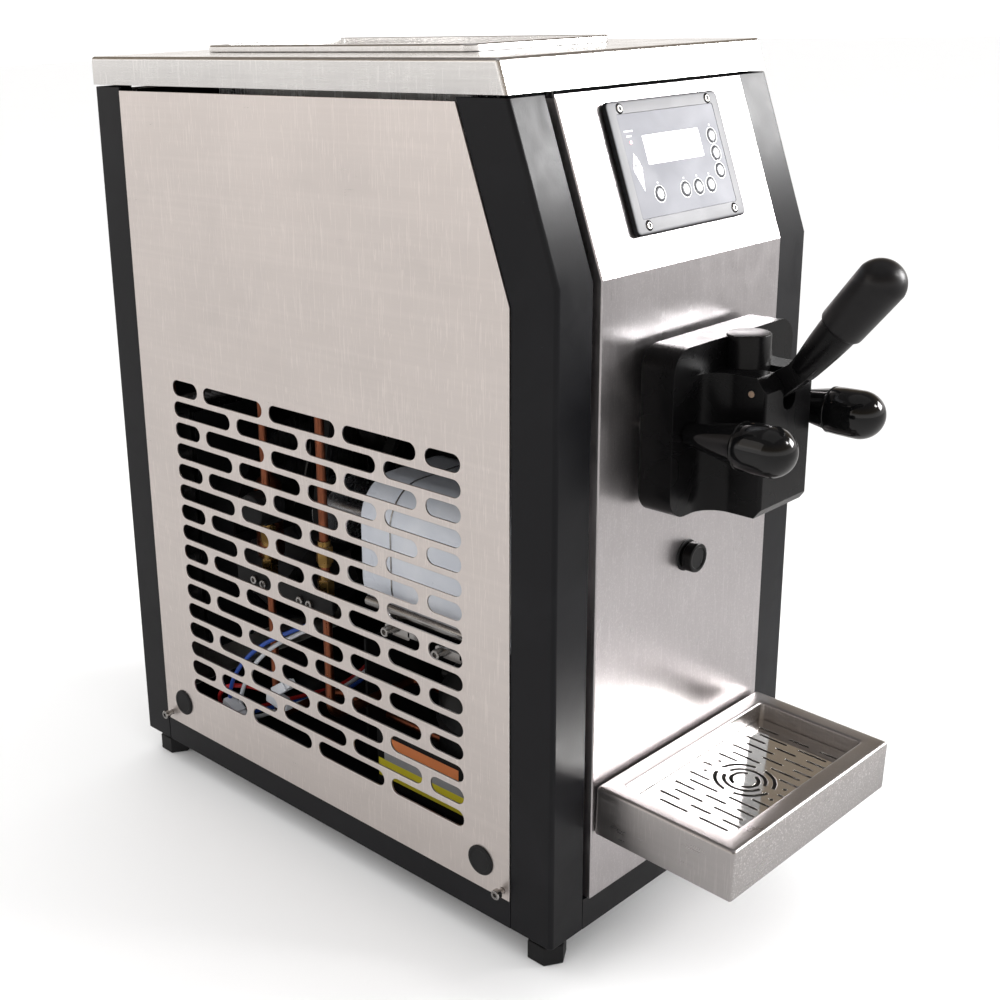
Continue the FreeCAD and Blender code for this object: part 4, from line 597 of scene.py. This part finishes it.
def side_fittings():
    """Hole plugs and standing socket cap screws."""
    plugs = Skin("hole_plugs")
    screws = Skin("panel_screws")
    for side in (-1, 1):
        for y, z in PLUGS:
            place = towards((side, 0, 0), (side * SIDE_X, y, z))
            plugs.lathe([(0, -4), (8.8, -4), (8.8, 0), (10.5, 0.02), (10.5, 0.8), (10.1, 1.3),
                         (9.4, 1.55), (8.0, 1.6), (7.6, 1.3), (0, 1.25)], place, 48)
        for y, z in SCREWS:
            place = towards((side, 0, 0), (side * SIDE_X, y, z))
            screws.lathe([(0, -6), (2, -6), (2, 4), (3.1, 4.05), (3.5, 4.4), (3.5, 7.4),
                          (3.1, 7.9), (2.3, 8.0)], place, 32)
            points = [(*corner, 8.0) for corner in corners_of(2.3)]
            points += [(*corner, height) for height in (7.95, 5.6) for corner in corners_of(1.75)]
            faces = [(i, (i + 1) % 6, 6 + (i + 1) % 6, 6 + i) for i in range(6)]
            faces += [(6 + i, 6 + (i + 1) % 6, 12 + (i + 1) % 6, 12 + i) for i in range(6)]
            screws.add(points, faces + [tuple(range(12, 18))], place)
    plugs.finish("dull_black", "black_gloss")
    screws.finish("fastener_steel")


side_panels()
side_fittings()
refined("front_panel", "front_steel", bevel=0.35)
panel_lip = Piece("front_panel_lip", SLOPE)
panel_lip.box((-93.6, 93.6), (-2.9, -1.5), (104.6, 109.2))
panel_lip.finish("front_steel", bevel=0.3)
refined("top_cover", "cover_steel", bevel=0.5)
refined("hopper_tank", "hopper_steel", bevel=0.4)
refined("hopper_lid", "cover_steel", bevel=0.5, body="lid")


def back_panel():
    half = 97.7
    outer = [(-half, PANEL_LOW), (half, PANEL_LOW), (half, PANEL_HIGH), (-half, PANEL_HIGH)]
    holes = [level_slot(low - 4, high + 4, 480 - 16 * k, 4.0)
             for k in range(25) for low, high in ((-80, -30), (-20, 30), (40, 80))]
    holes.append(rounded_rectangle(62 - 14.2, 62 + 14.2, 56 - 10.7, 56 + 10.7, 1.0, 3))
    place = shifted((0, REAR_Y - SHEET / 2, 0)) @ FRONTWARD
    cut_sheet("back_panel", outer, holes, SHEET, place, "back_steel")


back_panel()
refined("power_inlet", "dull_black", "black_inlet", bevel=0.3)

# ---------- control unit

KEYS = {"key_upper": (39.8, 71.0), "key_middle": (39.8, 60.0), "key_lower": (39.8, 49.0),
        "key_power": (-26.3, 41.4), "key_down": (0.0, 41.4), "key_up": (13.5, 41.4),
        "key_enter": (26.5, 41.4)}
FACE_Y, RECESS = -7.2, 0.9


def flat_print(name, outlines, look="print_white", lift=0.06):
    """Thin printed shapes standing on the membrane."""
    piece = Piece(name, SLOPE)
    place = shifted((0, FACE_Y + 0.1, 0)) @ FRONTWARD
    for outline in outlines:
        piece.prism(outline, -0.02, lift, place)
    piece.finish(look, "membrane_grey")


def band(cx, cy, inner, outer, start=0.0, stop=360.0, steps=28):
    """Outlines that together make a ring or a part of one."""
    out = []
    for i in range(steps):
        a = math.radians(start + (stop - start) * i / steps)
        b = math.radians(start + (stop - start) * (i + 1) / steps)
        out.append([(cx + r * math.cos(t), cy + r * math.sin(t))
                    for r, t in ((inner, a), (outer, a), (outer, b), (inner, b))])
    return out


def bezel_screws():
    """Round-headed screws with a round recess, each in a shallow dished ring."""
    heads = Skin("control_screws", SLOPE)
    dishes = Piece("screw_dishes", SLOPE)
    for x in (-44.6, 44.6):
        for z in (24.4, 94.4):
            place = towards((0, -1, 0), (x, FACE_Y, z))
            heads.lathe([(0, -2), (2.5, -2), (2.5, 0.25), (2.2, 0.6), (1.5, 0.7), (1.3, 0.55),
                         (1.25, 0.0), (0, 0.0)], place, 36)
            dishes.lathe([(2.5, 0.03), (3.0, 0.04), (3.2, 0.05), (3.35, -0.1), (3.35, -0.5),
                          (2.5, -0.5)], place, 36)
    heads.finish("fastener_steel", smooth=50.0)
    # the dished rings are flat black without specular: painted shade in the dishes
    dishes.finish("screw_shade", "control_shell")


def control_unit():
    shell = Skin("control_housing", SLOPE)
    shell.prism(rounded_rectangle(-57, 57, 19, 99.3, 4.2, 10), 3.2, -FACE_Y, FRONTWARD)
    housing = shell.to_object()
    apply_modifier(housing, "BEVEL", width=0.0022, segments=5, limit_method="ANGLE",
                   angle_limit=math.radians(50))
    recess = Piece("cut_recess", SLOPE)
    recess.prism(rounded_rectangle(-48.8, 48.8, 28.2, 91.2, 1.3, 4), -FACE_Y - RECESS, 15.0,
                 FRONTWARD)
    combine(housing, recess, "DIFFERENCE")
    settle(housing, "control_shell", "chassis", 0.0, 1, shell.replaced, 30.0)
    bezel_screws()
    window = rounded_rectangle(-29.6, 27.3, 59.5, 77.1, 0.6, 3)
    holes = [window] + [arc(x, z, 4.8, 0, 350, 35) for x, z in KEYS.values()]
    place = shifted((0, FACE_Y + 0.5, 0)) @ FRONTWARD
    cut_sheet("control_membrane", rounded_rectangle(-48.6, 48.6, 28.4, 91, 1.2, 4), holes, 0.8,
              place, "membrane_grey", bevel=0.1, frame_matrix=SLOPE)
    glass = Skin("display_window", SLOPE)
    glass.prism(window, -0.35, 0.32, place)
    glass.finish("display_clear", bevel=0.08)
    rings = []
    for x, z in KEYS.values():
        rings += band(x, z, 4.9, 5.4)
        rings += [[(x - 0.6, z + 6.4), (x + 0.6, z + 6.4), (x + 0.6, z + 7.4), (x - 0.6, z + 7.4)]]
    flat_print("key_rings", rings)
    swirl = [arc(-41.3, 57.6, 4.2, 0, 350, 20), arc(-41.3, 60.9, 3.3, 0, 350, 18),
             arc(-41.4, 63.6, 2.2, 0, 350, 16), [(-42.8, 64.6), (-40.2, 64.8), (-42.0, 67.6)]]
    flat_print("cone_icon", [[(-39.8, 44.3), (-37.6, 56.0), (-45.0, 56.0)]] + swirl)
    marks = [[(x, z), (x + w, z), (x + w, z + 0.9), (x, z + 0.9)]
             for x, z, w in ((-45.8, 80.2, 4.6), (-40.4, 80.2, 3.0), (-44.4, 77.2, 4.8))]
    flat_print("status_marks", marks)
    flat_print("status_light", [arc(-41.7, 73.9, 1.1, 0, 345, 23)], "led_red", 0.15)
    for name, (x, z) in KEYS.items():
        key = Skin(name, SLOPE)
        place = towards((0, -1, 0), (x, FACE_Y + 2.7, z))
        key.lathe([(0, 0), (4.4, 0), (4.45, 2.3), (4.3, 2.75), (3.7, 3.06), (2.6, 3.14),
                   (1.8, 3.08), (0, 2.95)], place, 40)
        key.finish("key_grey", body=name + "_button")


control_unit()


def cover_shadow_strip():
    """Dark strip of painted shadow that fills the gap between the front panel's top edge and the
    cover.
    """
    shadow_strip = Piece("cover_shadow_strip", SLOPE)
    shadow_strip.box((-93.6, 93.6), (-3.5, -2.2), (107.5, 109.3))
    shadow_strip.finish("screw_shade", "black_satin", bevel=0.2)


cover_shadow_strip()

# ---------- dispensing head


def freezer_door():
    """Plate with rounded corners, a valve block flaring into it, lever slot and bore."""
    door = Skin("freezer_door")
    door.prism(rounded_rectangle(-64, 64, DOOR_LOW, 387, 15, 14), 10, 33, FRONTWARD)
    block = Piece("freezer_door_block")
    flare = 16.0
    left = arc(-26 - flare, -33 - flare, flare, 90, 0, 12)
    right = [(-x, y) for x, y in left][::-1]
    nose = [(-26, -67.8)] + arc(-23.8, -67.8, 2.2, 180, 270, 5) + arc(23.8, -67.8, 2.2, -90, 0, 5)
    block.prism([(-42, -25)] + left + nose + right + [(42, -25)], DOOR_LOW, 368.8)
    wedge = Piece("cut_wedge")
    wedge.prism([(-71.5, 357.97), (-62.76, 369.8), (-71.5, 369.8)], -70, 70, SIDEWAYS)
    toe = Piece("cut_toe")
    toe.prism([(-71.0, 281.0), (-64.5, 281.0), (-71.0, 290.0)], -70, 70, SIDEWAYS)
    slot = Piece("cut_slot")
    slot.prism(arc(0, 352.6, 7, 180, 360, 14) + [(7, 392), (-7, 392)], 41, 75, FRONTWARD)
    bore = Piece("cut_bore")
    bore.lathe([(0, 297), (13.35, 297), (13.35, 392), (0, 392)], BORE_AXIS)
    outlet = Piece("cut_outlet")
    outlet.lathe([(0, 278), (8.5, 278), (8.5, 320), (0, 320)], BORE_AXIS, 40)
    pin = Piece("cut_pin")
    pin.lathe([(0, -40), (2.15, -40), (2.15, 40), (0, 40)], towards((1, 0, 0), LEVER_PIVOT), 24)
    door.finish("black_satin", bevel=1.2, segments=3, joins=[block],
                cuts=[wedge, toe, slot, bore, outlet, pin])


def hand_nut(name, x, body):
    nut = Skin(name)
    profile = [(0, 0), (5.2, 0), (5.8, 0.6), (6.4, 3.0), (13.0, 35.6), (13.3, 36.3), (13.35, 36.9),
               (14.1, 37.1), (14.5, 37.6), (14.45, 38.2), (14.2, 38.5), (14.5, 39.2),
               (14.8, 46.0), (14.97, 52.0)]
    nut.lathe(profile + dome(15.0, 56.0, 71.0, 18), towards((0, -1, 0), (x, -33.3, 335.2)), 96)
    nut.finish("black_gloss", body=body, smooth=30.0)


def piston():
    body = Skin("draw_piston")
    body.lathe([(0, 297.3), (13.0, 297.3), (13.25, 297.6), (13.25, 313.8), (11.6, 314.0),
                (11.6, 316.0), (13.25, 316.2), (13.25, 320.8), (11.6, 321.0), (11.6, 323.0),
                (13.25, 323.2), (13.25, 387.6), (13.0, 388.2), (12.4, 388.38), (0, 388.38)],
               BORE_AXIS, 96)
    front = Piece("cut_front")
    front.box((-7.4, 7.4), (-55.3, -44.0), (342.9, 361.3))
    back = Piece("cut_back")
    back.box((-7.4, 7.4), (-45.0, -36.0), (347.4, 356.8))
    body.finish("black_satin", body="piston", cuts=(front, back))
    # a thin disc in the lighter copy of black satin covers the piston's top face: painted light on
    # the top
    cap = Piece("piston_lit_top_disc")
    cap.lathe([(0, 388.3), (12.3, 388.3), (12.35, 388.42), (12.2, 388.5), (0, 388.5)],
              BORE_AXIS, 96)
    cap.finish("piston_top", "black_satin", body="piston")


def lever():
    tilt = math.radians(52.3)
    along = Vector((0, -math.cos(tilt), math.sin(tilt)))
    below = Vector((0, -math.sin(tilt), -math.cos(tilt)))
    foot = LEVER_PIVOT + below * 6.2
    arm = Skin("draw_lever")
    dip = math.radians(20.0)
    reach = Vector((0, math.cos(dip), -math.sin(dip)))
    width = Vector((0, math.sin(dip), math.cos(dip)))
    finger_tip = LEVER_PIVOT + reach * 19.5
    blade = [foot + along * -7 + below * -1, foot + along * -2 + below * 2.5,
             foot + along * 19 + below * 6.6, foot + along * 30 + below * 7.4,
             foot + along * 30 + below * -7.4, foot + along * 19 + below * -7.2,
             foot + along * 4 + below * -12.5]
    arm.prism([(p.y, p.z) for p in blade], -6, 6, SIDEWAYS)
    finger = [LEVER_PIVOT + width * 3, LEVER_PIVOT - width * 3, finger_tip - width * 3,
              finger_tip + width * 3]
    arm.prism([(p.y, p.z) for p in finger], -5.9, 5.9, SIDEWAYS)
    arm.lathe([(0, -6), (5.9, -6), (5.9, 6), (0, 6)], towards((1, 0, 0), LEVER_PIVOT), 40)
    arm.lathe([(0, -6), (4, -6), (4, 6), (0, 6)], towards((1, 0, 0), finger_tip), 32)
    arm.lathe([(0, 19.2), (7.0, 19.2), (7.9, 20.2), (8.5, 24), (9.5, 32), (10.4, 40), (11.2, 50),
               (11.4, 56), (0, 56)], towards(along, foot), 72)
    arm.finish("black_satin", body="lever", bevel=0.5)
    grip = Skin("lever_grip")
    profile = [(8.0, 0.0), (11.4, 0.0), (12.6, 0.5), (13.2, 1.4), (13.4, 2.6), (13.6, 10.0),
               (14.0, 24.0), (14.25, 34.0)]
    grip.lathe([(8.0, 20.0)] + profile + dome(14.3, 38.0, 49.8, 18),
               towards(along, foot + along * 55.05), 96)
    grip.finish("grip_black", "black_gloss", body="lever", smooth=30.0)
    refined("lever_pin", "pin_steel", "fastener_steel", bevel=0.2)


def drain_cap():
    cap = Skin("drain_cap")
    cap.lathe([(0, -7.9), (8.2, -7.9), (8.2, 2.4), (9.3, 2.8), (9.8, 3.4), (9.8, 8.2), (9.5, 9.0),
               (8.9, 9.35), (8.0, 9.4), (7.2, 9.2), (6.8, 8.7), (0, 8.6)],
              towards((0, -1, 0), (0, -3.3, 236.0)), 72)
    cap.finish("black_satin", body="stopper", smooth=30.0)
    ring = Piece("drain_ring")
    ring.lathe([(8.6, 0), (10.6, 0), (10.6, 0.7), (10.2, 1.1), (8.9, 1.1), (8.6, 0.8)],
               towards((0, -1, 0), (0, -3.0, 236.0)), 72)
    ring.finish("dull_black", "black_satin")


freezer_door()
hand_nut("left_hand_nut", -50, "left_nut")
hand_nut("right_hand_nut", 50, "right_nut")
piston()
lever()
drain_cap()

# ---------- drip tray


def drip_tray():
    """Folded hollow-wall tray: outer skin, rounded rim, inner skin, ledge and sump."""
    tray = Skin("drip_tray", TRAY)
    half, depth, height, rim = 92.0, 101.0, 35.0, 13.0

    def ring_of(inset, corner, z):
        return [(x, y, z) for x, y in rounded_rectangle(
            -half + inset, half - inset, -depth + inset, -inset, max(corner, 0.3), 5)]

    rows = [ring_of(1.2, 1.0, -height), ring_of(0.35, 1.6, -height + 0.35),
            ring_of(0.0, 2.0, -height + 1.2)]
    for i in range(7):
        a = math.radians(90 * i / 6)
        rows.append(ring_of(2.6 - 2.6 * math.cos(a), 2.2, -2.6 + 2.6 * math.sin(a)))
    for i in range(7):
        a = math.radians(90 - 90 * i / 6)
        rows.append(ring_of(rim - 1.8 + 1.8 * math.cos(a), 3.2, -1.8 + 1.8 * math.sin(a)))
    rows += [ring_of(rim, 3.2, -13.4), ring_of(rim + 0.5, 3.0, -13.8), ring_of(rim + 4, 3.0, -13.8),
             ring_of(rim + 4.3, 4.0, -14.4), ring_of(rim + 4.4, 4.0, -30.0),
             ring_of(rim + 5.4, 4.0, -32.6), ring_of(rim + 8.0, 4.0, -33.4)]
    verts = [[tray.mesh.verts.new(p) for p in row] for row in rows]
    for below, above in zip(verts, verts[1:]):
        for i in range(len(below)):
            after = (i + 1) % len(below)
            tray.mesh.faces.new([below[i], below[after], above[after], above[i]])
    tray.mesh.faces.new(verts[0][::-1])
    tray.mesh.faces.new(verts[-1])
    tray.finish("tray_steel", "front_steel", body="tray", smooth=25.0)
    welds = Piece("tray_welds", TRAY)
    for i in range(7):
        x = -66 + 15.5 * i + random.uniform(-1, 1)
        welds.lathe([(2.3, 0), (2.0, 0.14), (1.2, 0.2), (0.7, 0.08), (0, 0.02)],
                    towards((0, -1, 0), (x, -rim - 0.02, -6.6 + random.uniform(-0.4, 0.4))), 20)
    welds.finish("tray_steel", "front_steel", body="tray")


def drip_grid():
    centre, column = -50.5, 8.34
    short_rows = ((-30.8, -15.6), (-7.5, 7.5), (15.6, 30.8))
    long_rows = ((-25.2, -4.2), (4.2, 25.2))
    dashes = ((-31.8, -24.5), (24.5, 31.8))
    holes = []
    for index in range(-8, 9):
        away = abs(index)
        rows = long_rows if away % 2 else short_rows
        if away < 3:
            rows = (dashes, (), short_rows[::2])[away]
        for low, high in rows:
            holes.append(upright_slot(column * index, centre + low, centre + high, 1.0))
    for radius, breaks, first, gap in ((8.7, 2, 0, 19), (13.3, 2, 90, 12), (19.0, 4, 0, 10)):
        step = 360 / breaks
        for part in range(breaks):
            start = first + part * step + gap
            stop = start + step - 2 * gap
            holes.append(arc(0, centre, radius + 1.2, start, stop, 24)
                         + arc(0, centre, radius - 1.2, stop, start, 24))
    for x in (-column, column):
        for y in (-24.5, 24.5):
            holes.append(arc(x, centre + y, 1.3, 0, 340, 17))
    outer = rounded_rectangle(-78.6, 78.6, -87.6, -13.4, 1.5, 4)
    cut_sheet("drip_grid", outer, holes, 1.2, shifted((0, 0, -13.1)), "grid_steel", bevel=0.2,
              frame_matrix=TRAY, body="grid")


drip_tray()
drip_grid()

# ---------- inside the case


def socket_screw(piece, origin, direction, radius=3.4, length=4.0, shank=6.0):
    """Cap screw with a round recess, head end along a direction."""
    place = towards(direction, origin)
    piece.lathe([(0, -shank), (radius * 0.55, -shank), (radius * 0.55, 0), (radius, 0),
                 (radius, length - 0.4), (radius - 0.4, length), (radius * 0.55, length),
                 (radius * 0.5, length - 1.6), (0, length - 1.6)], place, 6 * 5)


def motor():
    can = Skin("drive_motor")
    can.prism(rounded_rectangle(-97, 7, 164, 266, 30, 16), -203, -30, FRONTWARD)
    can.finish("white_paint", bevel=3.0, segments=4)
    seams = Piece("motor_seams")
    for y in (61, 171):
        seams.prism(rounded_rectangle(-97.5, 7.5, 163.6, 266.4, 30.4, 16), -y - 1.2, -y, FRONTWARD)
    seams.finish("fastener_steel", "white_paint")
    rail = Piece("motor_rail")
    rail.lathe([(0, 90), (3.8, 90), (4.2, 90.4), (4.2, 185.6), (3.8, 186), (0, 186)],
               towards((0, 1, 0), (-106, 0, 183.4)), 40)
    rail.finish("fastener_steel")
    screws = Piece("motor_screws")
    clips = Piece("motor_clips")
    for y, z in ((155, 171.6), (107, 169.8)):
        clips.prism(rounded_rectangle(y - 16, y + 8, z - 3.6, z + 3.4, 2.0, 4), -113, -111.4,
                    SIDEWAYS)
        clips.prism(rounded_rectangle(y - 30, y - 14, z - 1.2, z + 3.4, 1.2, 4), -113, -111.4,
                    SIDEWAYS)
        socket_screw(screws, (-113, y + 2, z), (-1, 0, 0), 3.6, 7.0)
    clips.finish("fastener_steel", bevel=0.2)
    screws.finish("fastener_steel")


def compressor():
    shell = Skin("compressor")
    place = shifted((-30, 112, 0))
    shell.lathe([(0, 12), (50, 12), (54, 13.2), (57, 16.5), (58, 21), (58, 89.5), (59.2, 90.2),
                 (60.1, 91.2), (60.2, 92.8), (59.2, 93.8), (58, 94.5), (58, 106)]
                + dome(58, 108, 146, 20), place, 96)
    shell.prism(rounded_rectangle(-52, 52, -52, 52, 16, 8), 8.5, 12.5, place)
    shell.lathe([(0, 0), (4, 0), (4, 19.5), (3.5, 20), (0, 20)],
                towards((0, 1, 0), (-30, 166, 100)), 24)
    shell.finish("black_paint", smooth=30.0)
    mounts = Piece("compressor_mounts")
    for x in (-44, 44):
        for y in (-44, 44):
            mounts.lathe([(0, 2.3), (7, 2.3), (7, 3.6), (5.6, 4.4), (5.6, 5.6), (7, 6.4), (7, 8.5),
                          (0, 8.5)], shifted((x - 30, y + 112, 0)), 28)
    mounts.finish("black_rubber", smooth=30.0)

    cover = Piece("terminal_cover")
    cover.box((-97.0, -89.0), (102, 193), (32, 78))
    cover.finish("dull_black", "black_paint", bevel=2.5, segments=3)
    for name, low, high, front, rear, look in (
            ("label_plain_yellow", 39.5, 53.8, 104, 190, "label_yellow"),
            ("label_plain_dark", 53.8, 64.5, 106, 184, "label_grey"),
            ("label_plain_orange", 64.5, 73.4, 110, 180, "label_orange")):
        band_piece = Piece(name)
        band_piece.box((-97.25, -96.9), (front, rear), (low, high))
        band_piece.finish(look, "black_paint")


def plumbing():
    lines = Skin("suction_line")
    lines.tube(bent_path([(-10, 169.2, 70), (-10, 238, 70), (-100, 238, 70), (-100, 238, 334),
                          (-100, 186, 334), (-52.5, 186, 334)], 14), 3.6)
    lines.finish("copper", smooth=50.0)
    hot = Skin("hot_gas_line")
    hot.tube(bent_path([(-38, 170.2, 48), (-38, 302, 48), (-100, 302, 48), (-100, 302, 322),
                        (-100, 414, 322), (-100, 414, 283)], 14), 3.3)
    hot.finish("copper", smooth=50.0)
    fittings = Piece("flare_fittings")
    for y, z in ((302, 196), (302, 170), (238, 196), (238, 170)):
        place = shifted((-100, y, z))
        fittings.prism(corners_of(6.6), 0, 13, place)
        fittings.lathe([(3.7, -3), (5.0, -3), (5.0, 17), (3.7, 17)], place, 28)
    fittings.finish("brass", "copper", bevel=0.4)
    valve = Piece("valve_coil")
    valve.box((-110, -90), (292, 312), (213, 235))
    valve.lathe([(0, -16), (12.2, -16), (13, -15.2), (13, 5.2), (12.2, 6), (0, 6)],
                towards((1, 0, 0), (-100, 302, 224)), 40)
    valve.finish("dull_black", "copper", bevel=0.6)
    bar = Piece("pipe_crossbar")
    bar.prism([(214, 160), (322, 160), (322, 179), (214, 179)], -116, -113.6, SIDEWAYS)
    bar.finish("dull_black", "copper", bevel=0.8)
    screws = Piece("crossbar_screws")
    for y, z in ((299.8, 170.4), (289.2, 169.7), (247.6, 168.3), (237.1, 168.2)):
        socket_screw(screws, (-116, y, z), (-1, 0, 0), 3.3, 3.0)
    screws.finish("fastener_steel")
    drier = Skin("filter_drier")
    drier.lathe([(0, 0), (3.2, 0), (3.2, 10), (4.4, 12.5), (8.0, 16), (10.4, 19), (11, 22),
                 (11, 76), (10.4, 79), (8.0, 82), (4.4, 85.5), (3.2, 88), (3.2, 98), (0, 98)],
                shifted((-72, 334, 150)), 48)
    drier.finish("copper", smooth=30.0)


def wiring():
    """Loose coloured cables that sag to connectors on the floor of the case."""
    lanes = {
        "cable_blue": [(-96, 262, 138), (-112, 292, 121), (-114, 318, 100), (-114, 338, 76),
                       (-112, 350, 50), (-96, 356, 28), (12, 338, 18), (88, 322, 58),
                       (92, 240, 92)],
        "cable_white": [(-94, 266, 132), (-108, 294, 114), (-110, 316, 92), (-110, 330, 70),
                        (-108, 341, 48), (-92, 346, 26), (12, 343, 19), (84, 326, 58),
                        (88, 244, 92)],
        "cable_red": [(-90, 300, 60), (-104, 330, 66), (-112, 352, 62), (-114, 362, 48),
                      (-98, 364, 27), (12, 348, 18), (80, 330, 58), (84, 248, 92)],
    }
    for index, (look, path) in enumerate(lanes.items()):
        wire = Piece("wire_" + look)
        if index == 0:
            wire.replaced = ["wire_harness"]
        wire.tube(bent_path(path, 16, 10), 1.7, 14)
        wire.finish(look, "cable", smooth=60.0)
    plugs = Piece("wire_connectors")
    for x, y, z, turn in ((-112, 343, 46, 20), (-106, 287, 80, -35), (-104, 296, 66, 8)):
        place = shifted((x, y, z)) @ Matrix.Rotation(math.radians(turn), 4, "X")
        plugs.box((-5, 5), (-9, 9), (-4, 4), place)
        plugs.box((-3.6, 3.6), (-14, -9), (-2.8, 2.8), place)
    plugs.finish("cable_white", "cable", bevel=0.9)


def hidden_works():
    """Pieces seen only through the slots or with the lid, door or tray away."""
    plain = {
        "machined_steel": ("freezing_cylinder", "beater", "drive_shaft", "gearbox_pulley",
                           "motor_pulley"),
        "black_rubber": ("door_gasket", "drive_belt"), "copper": ("evaporator_coil",),
        "foam": ("insulation_jacket",), "white_plastic": ("scraper_blades",),
        "grey_paint": ("gearbox",), "aluminium_fins": ("condenser", "fan_blade"),
        "black_paint": ("fan_shroud",), "case_grey": ("control_case",),
        "fastener_steel": ("door_studs",),
    }
    for look, nodes in plain.items():
        for node in nodes:
            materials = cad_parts[node].data.materials
            materials.clear()
            materials.append(LOOKS[look])
    # dark sheets behind the right and back slots and behind the pipes: painted shade that keeps the
    # inside of the case dark
    shade_sheets = Piece("painted_shade_sheets")
    shade_sheets.box((122.0, 124.5), (66, 376), (60, 324))
    shade_sheets.box((-60, 122), (240, 242.5), (8, 120))
    shade_sheets.box((-96, 96), (434, 436), (283, 528))
    shade_sheets.finish("dull_black", "black_paint", bevel=0.4)


motor()
compressor()
plumbing()
wiring()
hidden_works()

# ---------- camera, light, floor


def camera():
    """Camera at the photograph's place, turned and shifted to its framing."""
    azimuth, elevation, roll = math.radians(-42.30), math.radians(17.67), math.radians(-2.08)
    back = Vector((math.sin(azimuth) * math.cos(elevation),
                   -math.cos(azimuth) * math.cos(elevation), math.sin(elevation)))
    data = bpy.data.cameras.new("camera")
    data.sensor_width = 36.0
    data.lens = 36.0 * 1.43865
    data.shift_x = 0.154
    data.shift_y = -0.038
    data.clip_end = 30
    made = placed("camera", data)
    made.location = CHASSIS @ Vector((-745.6, -498.3, 583.9))
    made.rotation_mode = "QUATERNION"
    made.rotation_quaternion = (-back).to_track_quat("-Z", "Y") @ Quaternion((0, 0, 1), roll)
    bpy.context.scene.camera = made


def area_light(name, place, target, width, height, watts, color=(1, 1, 1), spread=180):
    data = bpy.data.lights.new(name, "AREA")
    data.shape = "RECTANGLE"
    data.size, data.size_y = width, height
    data.energy = watts
    data.color = color
    data.spread = math.radians(spread)
    made = placed(name, data)
    made.location = place
    made.rotation_mode = "QUATERNION"
    made.rotation_quaternion = (Vector(target) - made.location).to_track_quat("-Z", "Y")


def paint_world(tree):
    """White room for sight and soft light; shiny pieces see a pale horizon and a dim, warm roof."""
    path = tree.nodes.new("ShaderNodeLightPath")
    coords = tree.nodes.new("ShaderNodeTexCoord")
    split = tree.nodes.new("ShaderNodeSeparateXYZ")
    ramp = tree.nodes.new("ShaderNodeValToRGB")
    pick = tree.nodes.new("ShaderNodeMix")
    pick.data_type = "RGBA"
    pick.inputs["A"].default_value = (1.2, 1.2, 1.2, 1)
    stops = ramp.color_ramp.elements
    stops[0].position, stops[0].color = 0.18, (1.35, 1.31, 1.28, 1)
    stops[1].position, stops[1].color = 0.34, (0.32, 0.25, 0.17, 1)
    top = stops.new(0.75)
    top.color = (0.16, 0.15, 0.15, 1)
    tree.links.new(coords.outputs["Generated"], split.inputs["Vector"])
    tree.links.new(split.outputs["Z"], ramp.inputs["Fac"])
    tree.links.new(ramp.outputs["Color"], pick.inputs["B"])
    tree.links.new(path.outputs["Is Glossy Ray"], pick.inputs["Factor"])
    tree.links.new(pick.outputs["Result"], tree.nodes["Background"].inputs["Color"])


def studio():
    data = bpy.data.meshes.new("floor")
    edge = 16.0
    data.from_pydata([(-edge, -edge, 0), (edge, -edge, 0), (edge, edge, 0), (-edge, edge, 0)], [],
                     [(0, 1, 2, 3)])
    floor = placed("floor", data)
    look = Look("floor", (0.93, 0.93, 0.93), 0.6)
    look.tint(look.band(look.noise(3.0, 4.0), 0.3, 0.8, 0.0, 0.05), (0.75, 0.75, 0.76))
    # the floor is tinted darker only where shiny parts mirror it: painted shade in their
    # reflections
    mirrored = look.node("LightPath").outputs["Is Glossy Ray"]
    look.tint(mirrored, (0.56, 0.55, 0.545))
    look.done()
    data.materials.append(LOOKS["floor"])
    world = bpy.data.worlds.new("studio")
    bpy.context.scene.world = world
    world.use_nodes = True
    paint_world(world.node_tree)
    area_light("key", (1.55, -1.25, 1.02), (0, -0.12, 0.48), 0.85, 0.6, 5.6, (1.0, 0.995, 1.0), 60)
    area_light("key_upper", (0.95, -1.65, 1.50), (0, -0.15, 0.4), 0.3, 0.3, 1.0,
               (1.0, 0.98, 0.97), 60)
    area_light("left_soft", (-2.0, 0.9, 1.5), (0, 0, 0.2), 1.4, 1.4, 5, (1.0, 0.95, 0.92))
    area_light("top_soft", (0.0, -0.2, 2.6), (0, 0, 0), 2.4, 2.4, 5, (1.0, 0.98, 0.97))
    bpy.context.scene.view_settings.view_transform = "Standard"


camera()
studio()
bpy.context.view_layer.update()
